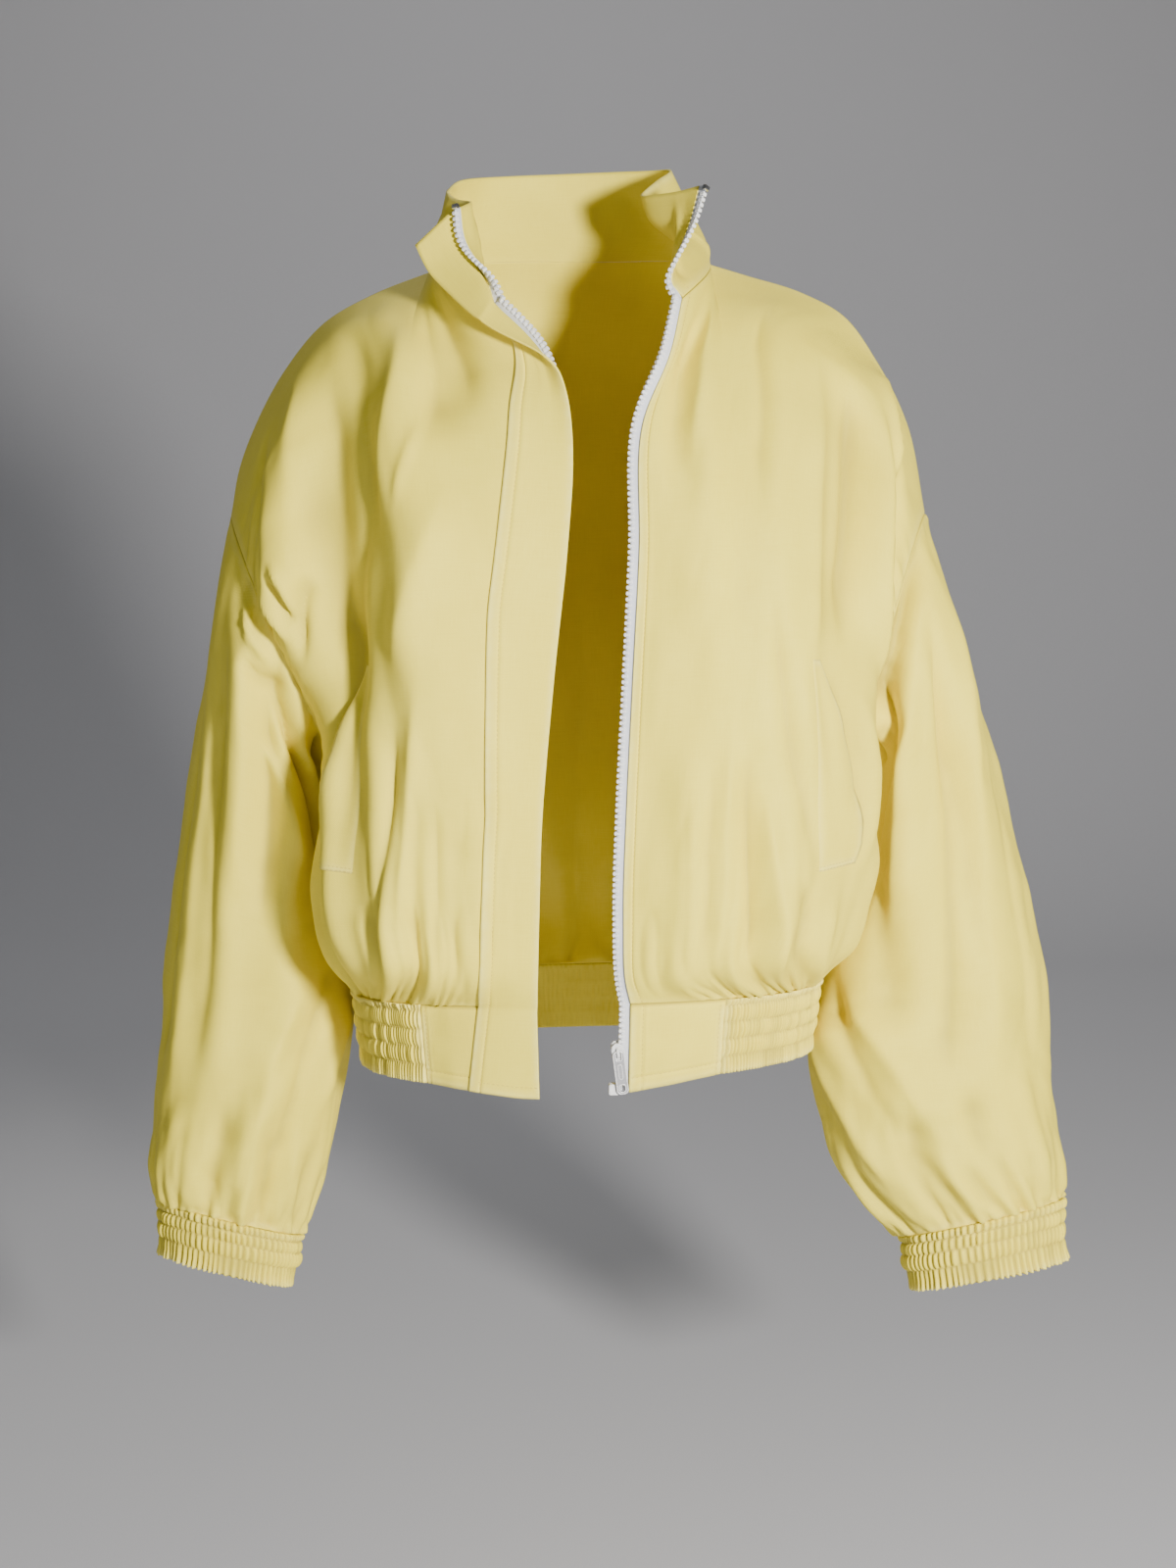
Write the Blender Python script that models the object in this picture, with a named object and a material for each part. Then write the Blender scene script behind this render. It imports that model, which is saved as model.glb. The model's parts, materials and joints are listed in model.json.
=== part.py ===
"""Bomber jacket, worn open: cloth walls, zip and pull tab, in metres.

X points to the wearer's left, Y to the back, Z up; the origin is the centre of the neck opening
at the height of the side neck points, where the wearer carries the jacket.
"""

import math

import bpy
import numpy as np
from mathutils import Matrix, Vector

MM = 0.001

# Driving sizes, metres.
CLOTH = 0.0014          # one layer of body cloth with its turnings
COLLAR_WALL = 0.0022    # doubled collar cloth
BAND_WALL = 0.0020      # waistband and cuff cloth under the ribs
FLAP_WALL = 0.0014
FLAP_CLEAR = 0.0005     # more room under a strip that bridges the cells of a panel
WELT_WALL = 0.0012
TAPE_WALL = 0.0010
GAP = 0.0003            # between neighbours at every seam
RIB = 0.0021            # height of the shirred ribs

# Cells of the panels: across the neck, along the shoulder, down the armhole, down the side.
NECK_CELLS = 8
BACK_NECK_CELLS = 6
SHOULDER_CELLS = 9
ARM_CELLS = 12
SIDE_CELLS = 7
SLEEVE_ROWS = 15
COLLAR_ROWS = 6
CUFF_RIBS = 36
BAND_RIBS = 74

# Waist seam: a plane that drops to the back and rises to the wearer's left, and the oval of the
# waistband under it. The plain ends in front are taller than the shirred band.
WAIST_Z = -0.514
WAIST_SLOPE = (0.025, -0.118)
BAND_HEIGHT = 0.050
BAND_TALLER = [(-0.17, 1.04), (-0.108, 1.12), (-0.039, 1.31), (0.036, 1.26), (0.101, 1.06), (0.17, 1.0)]
BAND_CENTRE = (0.006, -0.012)
BAND_HALF = (0.167, 0.128, 0.121)     # half width, to the front, to the back
BAND_TAPER = 0.0055
BAND_POWER = 2.4
BAND_PLAIN = (0.101, -0.108)          # x where the plain ends meet the shirred band
FRONT_X = {"left": 0.036, "right": -0.039}

# Zip: chain centre to cloth edge, chain section, slider.
ZIP_REACH = 0.0082
CHAIN_HALF = 0.0017
CHAIN_DEEP = 0.0014
TAPE_UNDER = 0.006

# Materials: colour, roughness, metallic.
LOOKS = {
    "cloth": ((0.85, 0.76, 0.44), 0.85, 0.0),
    "tape": ((0.86, 0.86, 0.84), 0.8, 0.0),
    "plastic": ((0.90, 0.90, 0.88), 0.35, 0.0),
    "enamel": ((0.88, 0.88, 0.86), 0.30, 0.2),
    "metal": ((0.75, 0.75, 0.73), 0.30, 1.0),
}

# Neckline, mm, from the front edge to the side neck point and on to the centre back.
NECK_FRONT = {
    "left": [(71, -76, -23), (80, -62, -15), (88, -42, -7), (92, -15, 0), (91, 12, 4)],
    "right": [(-56, -90, -27), (-76, -75, -20), (-96, -48, -10), (-103, -16, -4), (-105, 12, -2)],
}
NECK_BACK = {
    "left": [(-8, 74, 8), (25, 72, 8), (60, 60, 8), (84, 38, 7), (91, 12, 4)],
    "right": [(-8, 74, 8), (-42, 71, 8), (-75, 58, 6), (-98, 36, 2), (-105, 12, -2)],
}
# Shoulder seam, mm, from the side neck point to the dropped shoulder point.
SHOULDER = {
    "left": [(91, 12, 4), (118, 13, -4), (160, 14, -17), (188, 14, -32), (213, 12, -65),
             (234, 9, -107), (248, 5, -172)],
    "right": [(-105, 12, -2), (-144, 13, -17), (-181, 14, -38), (-209, 12, -71), (-229, 9, -107),
              (-242, 6, -141), (-248, 5, -173)],
}
# Armhole: shoulder point, underarm point, reach to the front and back, sideways lean of each half.
ARMHOLE = {
    "left": dict(top=(248, 5, -172), under=(203, -8, -335), front=62, back=66, lean=(-11, -8)),
    "right": dict(top=(-248, 5, -173), under=(-175, -8, -340), front=62, back=66, lean=(3, 8)),
}
# Side seam, mm, from the underarm to the waist seam.
SIDE = {
    "left": [(203, -8, -335), (199, -8, -385), (195, -8, -440), (186, -10, -482)],
    "right": [(-175, -8, -340), (-171, -8, -385), (-173, -8, -440), (-171, -10, -484)],
}

# Sections of the panels, mm. Knots across: edge 0, chest .3, crease .6, lobe .8, side 1.
ACROSS = (0.0, 0.3, 0.6, 0.8, 1.0)
DOWN = (0.0, 0.09, 0.22, 0.38, 0.53, 0.68, 0.865, 0.94, 1.0)
UNDERARM = 0.68
FRONT_SECTIONS = {       # rows 1 to 7: edge, chest, crease, lobe
    "left": [
        ((63, -94, -58), (97, -52, -36), (158, -36, -44), (214, -26, -92)),
        ((43, -118, -109), (97, -106, -96), (157, -78, -100), (213, -56, -138)),
        ((41, -140, -188), (97, -143, -186), (152, -118, -188), (205, -84, -208)),
        ((37, -149, -270), (96, -154, -268), (152, -134, -270), (201, -86, -278)),
        ((33, -152, -356), (93, -156, -352), (152, -136, -348), (203, -82, -345)),
        ((31, -150, -440), (90, -156, -438), (146, -139, -436), (196, -84, -436)),
        ((32, -146, -476), (88, -151, -474), (140, -134, -472), (184, -78, -476)),
    ],
    "right": [
        ((-28, -106, -57), (-113, -54, -38), (-176, -36, -58), (-214, -28, -104)),
        ((-17, -121, -104), (-108, -106, -96), (-166, -74, -108), (-217, -58, -146)),
        ((-20, -140, -188), (-102, -142, -186), (-154, -104, -196), (-212, -88, -212)),
        ((-28, -149, -271), (-97, -152, -270), (-146, -118, -276), (-186, -80, -286)),
        ((-35, -152, -356), (-94, -156, -352), (-140, -132, -350), (-172, -80, -348)),
        ((-38, -150, -440), (-92, -156, -438), (-140, -138, -438), (-180, -78, -440)),
        ((-39, -146, -478), (-91, -151, -476), (-136, -134, -476), (-175, -72, -482)),
    ],
}
BACK_SECTIONS = [        # rows 1 to 7, left half: centre, blade, crease, lobe
    ((-8, 90, -26), (92, 58, -34), (160, 46, -46), (213, 38, -94)),
    ((-6, 108, -86), (92, 102, -92), (160, 82, -104), (214, 62, -142)),
    ((-4, 120, -178), (94, 124, -182), (156, 104, -192), (208, 84, -214)),
    ((-2, 124, -265), (94, 127, -268), (152, 104, -276), (194, 66, -286)),
    ((1, 127, -350), (94, 129, -350), (148, 106, -349), (186, 56, -346)),
    ((4, 130, -446), (92, 130, -446), (144, 108, -444), (180, 56, -440)),
    ((6, 126, -492), (90, 126, -492), (138, 104, -488), (172, 52, -482)),
]

# Drape folds of the panels: start (across, down), end, half width in mm, height in mm.
FRONT_FOLDS = {
    "left": [
        ((0.12, 0.00), (0.17, 0.34), 16, -7), ((0.34, 0.06), (0.36, 0.52), 20, -5),
        ((0.50, 0.08), (0.52, 0.66), 20, 5), ((0.68, 0.12), (0.66, 0.50), 17, -9),
        ((0.60, 0.46), (0.58, 0.96), 14, 5), ((0.44, 0.60), (0.40, 0.97), 18, -5),
        ((0.22, 0.62), (0.24, 0.97), 16, 4), ((0.76, 0.55), (0.72, 0.96), 14, -5),
    ],
    "right": [
        ((0.16, 0.02), (0.24, 0.26), 15, -7), ((0.34, 0.10), (0.38, 0.60), 20, 5),
        ((0.50, 0.06), (0.50, 0.40), 16, -5), ((0.70, 0.22), (0.64, 0.62), 17, -12),
        ((0.56, 0.50), (0.54, 0.97), 15, 5), ((0.40, 0.66), (0.42, 0.97), 16, -5),
        ((0.76, 0.60), (0.72, 0.96), 15, 6), ((0.22, 0.70), (0.26, 0.97), 15, -4),
    ],
}
BACK_FOLDS = [
    ((-0.66, 0.14), (-0.60, 0.62), 22, -9), ((-0.40, 0.20), (-0.36, 0.80), 26, 5),
    ((-0.16, 0.30), (-0.14, 0.97), 26, -5), ((0.10, 0.12), (0.12, 0.78), 28, 5),
    ((0.36, 0.34), (0.34, 0.97), 24, -5), ((0.64, 0.12), (0.60, 0.60), 22, -9),
    ((0.58, 0.60), (0.54, 0.97), 18, 5), ((-0.62, 0.62), (-0.56, 0.97), 18, 5),
    ((-0.80, 0.66), (-0.76, 0.97), 15, -4), ((0.80, 0.66), (0.77, 0.97), 15, -4),
]
GATHERS = {"left": 6, "right": 6, "back": 13}      # soft pleats let into the waist seam
GATHER_HIGH = 3.2

# Sleeve sections, mm: outer x, z, inner x, z, centre y, half depth.
SLEEVE = {
    "left": [
        (248, -172, 203, -335, -2, 62), (261, -219, 217, -346, 2, 63), (281, -290, 215, -382, 8, 62),
        (301, -355, 208, -428, 13, 60), (321, -429, 194, -480, 16, 60), (336, -490, 182, -526, 17, 61),
        (346, -554, 171, -562, 15, 63), (353, -612, 180, -614, 12, 63), (359, -655, 201, -664, 7, 59),
        (360, -682, 245, -711, 2, 46),
    ],
    "right": [
        (-248, -173, -175, -340, -2, 62), (-259, -228, -188, -352, 2, 63),
        (-271, -297, -183, -390, 8, 62), (-282, -360, -181, -436, 13, 60),
        (-293, -430, -181, -482, 16, 60), (-302, -496, -169, -522, 17, 60),
        (-310, -562, -172, -564, 15, 61), (-315, -620, -183, -624, 12, 61),
        (-317, -660, -197, -670, 7, 57), (-311, -683, -211, -710, 2, 46),
    ],
}
# Sleeve folds: start (turn, down), end, half width in mm, height in mm. Turn 0 is the outer side,
# .25 the front, .5 the inner side, .75 the back.
SLEEVE_FOLDS = {
    "left": [
        ((0.20, 0.03), (0.17, 0.62), 13, -8), ((0.08, 0.04), (0.09, 0.74), 14, 5),
        ((0.33, 0.08), (0.30, 0.44), 14, 6), ((0.40, 0.30), (0.28, 0.66), 15, -6),
        ((0.44, 0.60), (0.30, 0.84), 16, 7), ((0.22, 0.74), (0.20, 0.99), 9, -5),
        ((0.14, 0.72), (0.13, 0.99), 9, 4), ((0.30, 0.80), (0.29, 0.99), 9, -5),
        ((0.70, 0.06), (0.72, 0.60), 18, -6), ((0.84, 0.20), (0.84, 0.85), 18, 5),
        ((0.60, 0.55), (0.70, 0.90), 16, -6), ((0.78, 0.74), (0.77, 0.99), 10, 4),
    ],
    "right": [
        ((0.12, 0.04), (0.13, 0.70), 14, -6), ((0.20, 0.06), (0.20, 0.80), 14, 6),
        ((0.28, 0.02), (0.28, 0.46), 12, -8), ((0.36, 0.10), (0.30, 0.60), 14, 6),
        ((0.44, 0.48), (0.30, 0.74), 15, -7), ((0.40, 0.60), (0.26, 0.84), 14, 6),
        ((0.24, 0.76), (0.23, 0.99), 9, -5), ((0.14, 0.76), (0.15, 0.99), 9, 4),
        ((0.72, 0.06), (0.70, 0.62), 18, -6), ((0.86, 0.20), (0.84, 0.85), 18, 5),
        ((0.60, 0.55), (0.68, 0.90), 16, -6), ((0.77, 0.74), (0.78, 0.99), 10, 4),
    ],
}
SLEEVE_GATHERS = 11
CUFF_PITCH = 0.30       # the cuffs hang with their front rim raised
# Cuff sections, mm, top to bottom: outer x, z, inner x, z, half depth.
CUFF = {
    "left": [(360, -682, 245, -711, 46), (361, -705, 247, -731, 45), (362, -729, 253, -752, 44)],
    "right": [(-311, -683, -211, -710, 46), (-312, -703, -213, -729, 44), (-310, -724, -219, -749, 43)],
}

# Collar stations, mm, from the right front edge round the back to the left front edge:
# place along the neckline, then low, high and top points above it.
COLLAR = [
    (0.000, (-61, -78, -10), (-76, -61, 15), (-80, -53, 38)),
    (0.075, (-68, -60, -7), (-70, -45, 18), (-74, -36, 43)),
    (0.150, (-84, -46, 2), (-82, -24, 24), (-84, -18, 46)),
    (0.230, (-97, -24, 8), (-95, -8, 28), (-91, 0, 52)),
    (0.300, (-98, 8, 20), (-95, 14, 40), (-91, 18, 56)),
    (0.380, (-99, 44, 24), (-91, 46, 45), (-82, 44, 64)),
    (0.450, (-62, 71, 29), (-60, 74, 49), (-57, 75, 69)),
    (0.510, (-8, 81, 31), (-7, 86, 52), (-6, 88, 72)),
    (0.590, (52, 70, 30), (49, 74, 52), (46, 75, 73)),
    (0.680, (86, 36, 25), (76, 44, 50), (66, 47, 71)),
    (0.760, (88, 10, 18), (66, 8, 40), (54, 16, 60)),
    (0.840, (80, -16, 12), (52, -16, 30), (45, -10, 49)),
    (0.910, (71, -44, 2), (67, -42, 27), (64, -34, 49)),
    (1.000, (63, -71, -9), (76, -60, 26), (83, -53, 52)),
]

# Storm flap, down the right front edge: place (0 collar top, 1 neck seam, 2 waist seam, 3 hem),
# root inside the edge, overhang past it (mm), turn of the free part (degrees), extra lift (mm).
FLAP = [
    (0.00, 8, 10, 62, 0), (0.20, 8, 28, 74, 0), (0.35, 8, 34, 80, 0), (0.60, 8, 32, 88, 0.3),
    (0.80, 7, 28, 100, 1.0), (1.00, 8, 23, 118, 1.0), (1.04, 11, 20, 150, 0.8), (1.08, 15, 17, 138, 0.4),
    (1.12, 21, 14, 70, 0), (1.17, 27, 13, 18, 0), (1.25, 32, 14, 4, 0), (1.45, 36, 12, 0, 0),
    (1.70, 26, 12, 0, 0), (2.00, 29, 12, 0, 0), (3.00, 38, 12, 0, 0),
]


def spline(knots, values, at):
    """Cubic through the values at the knots, with centred slopes; the first axis is interpolated."""
    knots, values, at = np.asarray(knots, float), np.asarray(values, float), np.asarray(at, float)
    shape = (-1,) + (1,) * (values.ndim - 1)
    span = np.diff(knots).reshape(shape)
    slope = np.diff(values, axis=0) / span
    tangent = np.concatenate([slope[:1], slope, slope[-1:]])
    before, after = np.concatenate([span[:1], span]), np.concatenate([span, span[-1:]])
    tangent = (tangent[:-1] * after + tangent[1:] * before) / (before + after)
    index = np.clip(np.searchsorted(knots, at, side="right") - 1, 0, len(knots) - 2)
    width = np.diff(knots)[index].reshape(shape)
    t = (at - knots[index]).reshape(shape) / width
    low, high = values[index], values[index + 1]
    return ((2 * t**3 - 3 * t**2 + 1) * low + (3 * t**2 - 2 * t**3) * high
            + ((t**3 - 2 * t**2 + t) * tangent[index] + (t**3 - t**2) * tangent[index + 1]) * width)


def curve(points, at):
    """A smooth curve through points in mm, spaced by their distance, at fractions of its length."""
    points = np.asarray(points, float) * MM
    step = np.linalg.norm(np.diff(points, axis=0), axis=1)
    knots = np.concatenate([[0], np.cumsum(step)]) / step.sum()
    return spline(knots, points, at)


def unit(vectors):
    return vectors / np.maximum(np.linalg.norm(vectors, axis=-1, keepdims=True), 1e-12)


def ease(x):
    x = np.clip(x, 0.0, 1.0)
    return x * x * (3 - 2 * x)


def armhole(side, turn):
    """Points of the armhole seam: turn 0 the shoulder, .25 the front, .5 the underarm, .75 the back."""
    hole = ARMHOLE[side]
    top, under = np.array(hole["top"]) * MM, np.array(hole["under"]) * MM
    angle = 2 * math.pi * np.asarray(turn)[..., None]
    front = np.sin(angle) > 0
    lean = np.where(front, hole["lean"][0], hole["lean"][1]) * MM
    reach = np.where(front, hole["front"], hole["back"]) * MM
    across = np.sin(angle)
    sideways = np.concatenate([lean * np.abs(across), -reach * across, 0 * across], axis=-1)
    return (top + under) / 2 + np.cos(angle) * (top - under) / 2 + sideways


def waist_rise(x, y):
    return WAIST_SLOPE[0] * x + WAIST_SLOPE[1] * y


def waist(angle, drop=0.0, out=0.0):
    """The waistband oval: angle 0 at the front centre, growing to the wearer's left; drop down its height."""
    angle, drop = np.broadcast_arrays(np.asarray(angle, float), np.asarray(drop, float))
    wide, front, back = BAND_HALF
    sine, cosine = np.sin(angle), np.cos(angle)
    deep = np.where(cosine > 0, front, back)
    shrink = BAND_TAPER * drop / BAND_HEIGHT
    x = BAND_CENTRE[0] + (wide - shrink + out) * np.sign(sine) * np.abs(sine) ** (2 / BAND_POWER)
    y = BAND_CENTRE[1] - (deep - shrink + out) * np.sign(cosine) * np.abs(cosine) ** (2 / BAND_POWER)
    taller = np.where(y < BAND_CENTRE[1], np.interp(x, *np.transpose(BAND_TALLER)), 1)
    taller = 1 + (taller - 1) * ease((BAND_CENTRE[1] - y) / 0.05)
    return np.stack([x, y, WAIST_Z + waist_rise(x, y) - drop * taller], axis=-1)


def waist_angle(x):
    """The angle at which the waistband oval passes this x on its front."""
    part = (x - BAND_CENTRE[0]) / BAND_HALF[0]
    return math.asin(math.copysign(min(abs(part), 1) ** (BAND_POWER / 2), part))


def fold_heights(folds, across, down, width, height):
    """Sum of soft ridges and troughs: a bell across each fold's line, tapering to nothing at its ends."""
    total = np.zeros(np.broadcast(across, down).shape)
    for start, end, half, high in folds:
        a, b = np.array(start) * (width, height), np.array(end) * (width, height)
        run = (b - a) / np.dot(b - a, b - a)
        dx, dy = across * width - a[0], down * height - a[1]
        along = dx * run[0] + dy * run[1]
        near = np.clip(along, 0, 1)
        away = np.hypot(dx - near * (b - a)[0], dy - near * (b - a)[1])
        taper = ease(0.15 + near / 0.3) * ease(0.15 + (1 - near) / 0.3)
        total += high * MM * taper * np.exp(-(away / (half * MM)) ** 2)
    return total


def grid_normals(grid, closed=False):
    """Unit normals of a grid of points; a closed grid joins its last column to its first."""
    if closed:
        along = np.roll(grid, -1, axis=1) - np.roll(grid, 1, axis=1)
    else:
        along = np.gradient(grid, axis=1)
    return unit(np.cross(along, np.gradient(grid, axis=0)))


EDGE_ANGLE = {side: waist_angle(x) for side, x in FRONT_X.items()}


def panel_rows():
    return np.concatenate([np.linspace(0, UNDERARM, ARM_CELLS + 1),
                           np.linspace(UNDERARM, 1, SIDE_CELLS + 1)[1:]])


def side_line(side, half, down):
    """Side edge of a panel: its half of the armhole, then the side seam to the waist."""
    turn = np.clip(down / UNDERARM, 0, 1) / 2
    arm = armhole(side, turn if half == "front" else 1 - turn)
    foot = waist(math.copysign(math.pi / 2, SIDE[side][0][0]))
    seam = curve(SIDE[side] + [tuple(foot / MM)], np.clip((down - UNDERARM) / (1 - UNDERARM), 0, 1))
    return np.where((down <= UNDERARM)[:, None], arm, seam)


def top_line(side, half, across):
    """Top edge of a panel: its neckline up to the side neck point, then the shoulder seam."""
    neck = (NECK_FRONT if half == "front" else NECK_BACK)[side]
    on_neck = curve(neck, np.clip(across / ACROSS[1], 0, 1))
    on_shoulder = curve(SHOULDER[side], np.clip((across - ACROSS[1]) / (1 - ACROSS[1]), 0, 1))
    return np.where((across <= ACROSS[1])[:, None], on_neck, on_shoulder)


def waist_line(side, half, across):
    """Bottom edge of a panel on the waistband oval, from the front edge or centre back to the side."""
    start = EDGE_ANGLE[side] if half == "front" else math.copysign(math.pi, SIDE[side][0][0])
    return waist(start + across * (math.copysign(math.pi / 2, SIDE[side][0][0]) - start))


def section_table(side, half):
    """Control points of half a body, from the top edge to the waist, five to a section."""
    knots, ends = np.array(ACROSS), side_line(side, half, np.array(DOWN))
    sections = np.array(FRONT_SECTIONS[side] if half == "front" else BACK_SECTIONS, float) * MM
    if half == "back" and side == "right":
        centre = sections[:, :1, 0]
        twin = side_line("left", half, np.array(DOWN))[1:-1, 0][:, None]
        sections[..., 0] = centre + (sections[..., 0] - centre) * (ends[1:-1, :1] - centre) / (twin - centre)
    rows = [top_line(side, half, knots)]
    rows += [np.concatenate([row, end[None]]) for row, end in zip(sections, ends[1:-1])]
    return np.stack(rows + [waist_line(side, half, knots)])


def panel(half, side=None):
    """A body panel: a loft through its sections, folded and gathered, then fitted to its seams."""
    neck_cells = NECK_CELLS if half == "front" else BACK_NECK_CELLS
    across = np.concatenate([np.linspace(0, ACROSS[1], neck_cells + 1),
                             np.linspace(ACROSS[1], 1, SHOULDER_CELLS + 1)[1:]])
    knots, down = np.array(ACROSS), panel_rows()
    if half == "front":
        table, halves = section_table(side, half), [(side, across, slice(None), -1)]
        folds, gathers = FRONT_FOLDS[side], GATHERS[side]
        facing, phase = (-1 if side == "left" else 1), (0.6 if side == "left" else 1.7)
    else:
        table = np.concatenate([section_table("right", half)[:, ::-1], section_table("left", half)[:, 1:]], 1)
        middle = len(across) - 1
        halves = [("right", across[::-1], slice(0, middle + 1), 0), ("left", across, slice(middle, None), -1)]
        knots = np.concatenate([-knots[::-1], knots[1:]])
        across = np.concatenate([-across[::-1], across[1:]])
        folds, gathers, facing, phase = BACK_FOLDS, GATHERS["back"] / 2, 1, 0.3
    grid = spline(DOWN, spline(knots, table.transpose(1, 0, 2), across).transpose(1, 0, 2), down)
    u, v = across[None, :], down[:, None]
    high = fold_heights(folds, u, v, 0.25, 0.55)
    let_in = ease((v - 0.70) / 0.24) * (1 - 0.75 * ease((v - 0.97) / 0.03))
    waves = np.sin(2 * math.pi * gathers * u + 1.3 * np.sin(5 * u + 2) + phase)
    high = high + GATHER_HIGH * MM * let_in * waves * (ease((u - 0.14) / 0.2) if half == "front" else 1)
    grid = grid + grid_normals(grid) * facing * high[..., None]
    for name, own, part, end in halves:
        grid[:, part] += (top_line(name, half, own) - grid[0, part])[None] * (1 - ease(v / 0.16))[..., None]
        reach = ease((own[None, :] - 0.72) / 0.28)[..., None]
        grid[:, part] += (side_line(name, half, down) - grid[:, end])[:, None] * reach
        near_waist = ease((v - 0.95) / 0.05)[..., None]
        grid[:, part] += (waist_line(name, half, own) - grid[-1, part])[None] * near_waist
    return dict(grid=grid, normal=grid_normals(grid) * facing, closed=False)


def ring(outer, inner, centre_y, depth, turn, power=2.0, pitch=0.0):
    """One oval section of a sleeve or cuff, from its outer and inner points and its half depth."""
    outer, inner = np.asarray(outer) * MM, np.asarray(inner) * MM
    angle = 2 * math.pi * np.asarray(turn)
    sine, cosine = np.sin(angle), np.cos(angle)
    reach = np.sign(cosine) * np.abs(cosine) ** (2 / power)
    deep = -np.sign(sine) * np.abs(sine) ** (2 / power) * depth * MM
    middle, half = (outer + inner) / 2, (outer - inner) / 2
    return np.stack([middle[0] + half[0] * reach, centre_y * MM + deep,
                     middle[1] + half[1] * reach - pitch * deep], -1)


def sleeve(side):
    """A sleeve: a loft through its oval sections, folded, and gathered into the cuff."""
    turn = np.arange(2 * ARM_CELLS) / (2 * ARM_CELLS)
    table = SLEEVE[side]
    count = len(table) - 1
    rows = np.stack([ring(row[:2], row[2:4], row[4], row[5], turn, 2.15 if k < count else 2.0,
                          CUFF_PITCH * ease((k - count + 4) / 4)) for k, row in enumerate(table)])
    knots = np.array([0, 0.09, 0.20, 0.31, 0.44, 0.56, 0.69, 0.81, 0.92, 1.0])
    down = np.concatenate([np.linspace(0, 0.86, SLEEVE_ROWS - 4), [0.90, 0.94, 0.975, 1.0]])
    rows[0] = armhole(side, turn)
    grid = spline(knots, rows, down)
    facing = 1 if side == "left" else -1
    normal = grid_normals(grid, closed=True) * facing
    u, v = turn[None, :], down[:, None]
    high = sum(fold_heights(SLEEVE_FOLDS[side], u + shift, v, 0.40, 0.52) for shift in (-1, 0, 1))
    let_in = ease((v - 0.78) / 0.15) * (1 - 0.8 * ease((v - 0.97) / 0.03))
    high = high + GATHER_HIGH * MM * let_in * np.sin(2 * math.pi * SLEEVE_GATHERS * u + np.sin(4 * u))
    high = high * ease((v + 0.01) / 0.08) * (1 - ease((v - 0.975) / 0.025))
    grid = grid + normal * high[..., None]
    return dict(grid=grid, normal=grid_normals(grid, closed=True) * facing, closed=True)


def collar():
    """The stand: neckline points below, then the low, high and top points of its stations."""
    places = [row[0] for row in COLLAR]
    runs = ((0, 0.30, NECK_CELLS), (0.30, 0.51, BACK_NECK_CELLS), (0.51, 0.72, BACK_NECK_CELLS),
            (0.72, 1, NECK_CELLS))
    cells = np.concatenate([[0]] + [np.linspace(low, high, count + 1)[1:] for low, high, count in runs])
    seam = np.concatenate([curve(NECK_FRONT["right"], np.linspace(0, 1, NECK_CELLS + 1)),
                           curve(NECK_BACK["right"][::-1], np.linspace(0, 1, BACK_NECK_CELLS + 1))[1:],
                           curve(NECK_BACK["left"], np.linspace(0, 1, BACK_NECK_CELLS + 1))[1:],
                           curve(NECK_FRONT["left"][::-1], np.linspace(0, 1, NECK_CELLS + 1))[1:]])
    upper = spline(places, np.array([row[1:] for row in COLLAR], float) * MM, cells)
    rows = np.stack([seam, upper[:, 0], upper[:, 1], upper[:, 2]])
    grid = spline((0, 0.33, 0.68, 1.0), rows, np.linspace(1, 0, COLLAR_ROWS + 1))
    return dict(grid=grid, normal=grid_normals(grid), closed=False, stiff=2)


def border_points(sheet):
    """Border places of a sheet, each with a direction that leads into the sheet, square to its edge."""
    grid, into = sheet["grid"], {}
    rows, columns = grid.shape[:2]
    for axis, edge, second in ((0, 0, 1), (0, rows - 1, -2), (1, 0, 1), (1, columns - 1, -2)):
        if axis == 1 and sheet["closed"]:
            continue
        line, inside = (grid[edge], grid[second]) if axis == 0 else (grid[:, edge], grid[:, second])
        if sheet["closed"]:
            along = unit(np.roll(line, -1, axis=0) - np.roll(line, 1, axis=0))
        else:
            along = unit(np.gradient(line, axis=0))
        square = (inside - line) - ((inside - line) * along).sum(-1, keepdims=True) * along
        for k, direction in enumerate(unit(square)):
            place = (edge, k) if axis == 0 else (k, edge)
            into[place] = into.get(place, 0) + direction
    return {place: unit(direction) for place, direction in into.items()}


def fit_seams(sheets):
    """Gives the points that sheets share at a seam one normal, then parts the sheets by the gap.

    Where two sheets fold back on each other the normals nearly cancel, so the shared normal also
    takes the direction that leads into the sheets, towards the side that both face.
    """
    owners = {}
    for name, sheet in sheets.items():
        for (i, j), into in border_points(sheet).items():
            key = tuple(np.round(sheet["grid"][i, j] / (0.2 * MM) + 0.3).astype(int))
            owners.setdefault(key, []).append((name, i, j, into, sheet["normal"][i, j].copy()))
    for places in owners.values():
        if len(places) < 2:
            continue
        total = sum(normal * (sheets[name].get("stiff", 0) * (len(places) - 1) or 1)
                    for name, _, _, _, normal in places)
        for k, first in enumerate(places):
            for second in places[k + 1:]:
                facing = np.sign(first[4] @ second[3] + second[4] @ first[3])
                total = total + facing * (1 - first[4] @ second[4]) * (first[3] + second[3])
        total = unit(total)
        for name, i, j, into, _ in places:
            others = sum(place[3] for place in places if place[0] != name) / (len(places) - 1)
            away = into - others
            away = unit(away - (away @ total) * total)
            sheets[name]["grid"][i, j] += away * GAP / 2
            sheets[name]["normal"][i, j] = total


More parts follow.
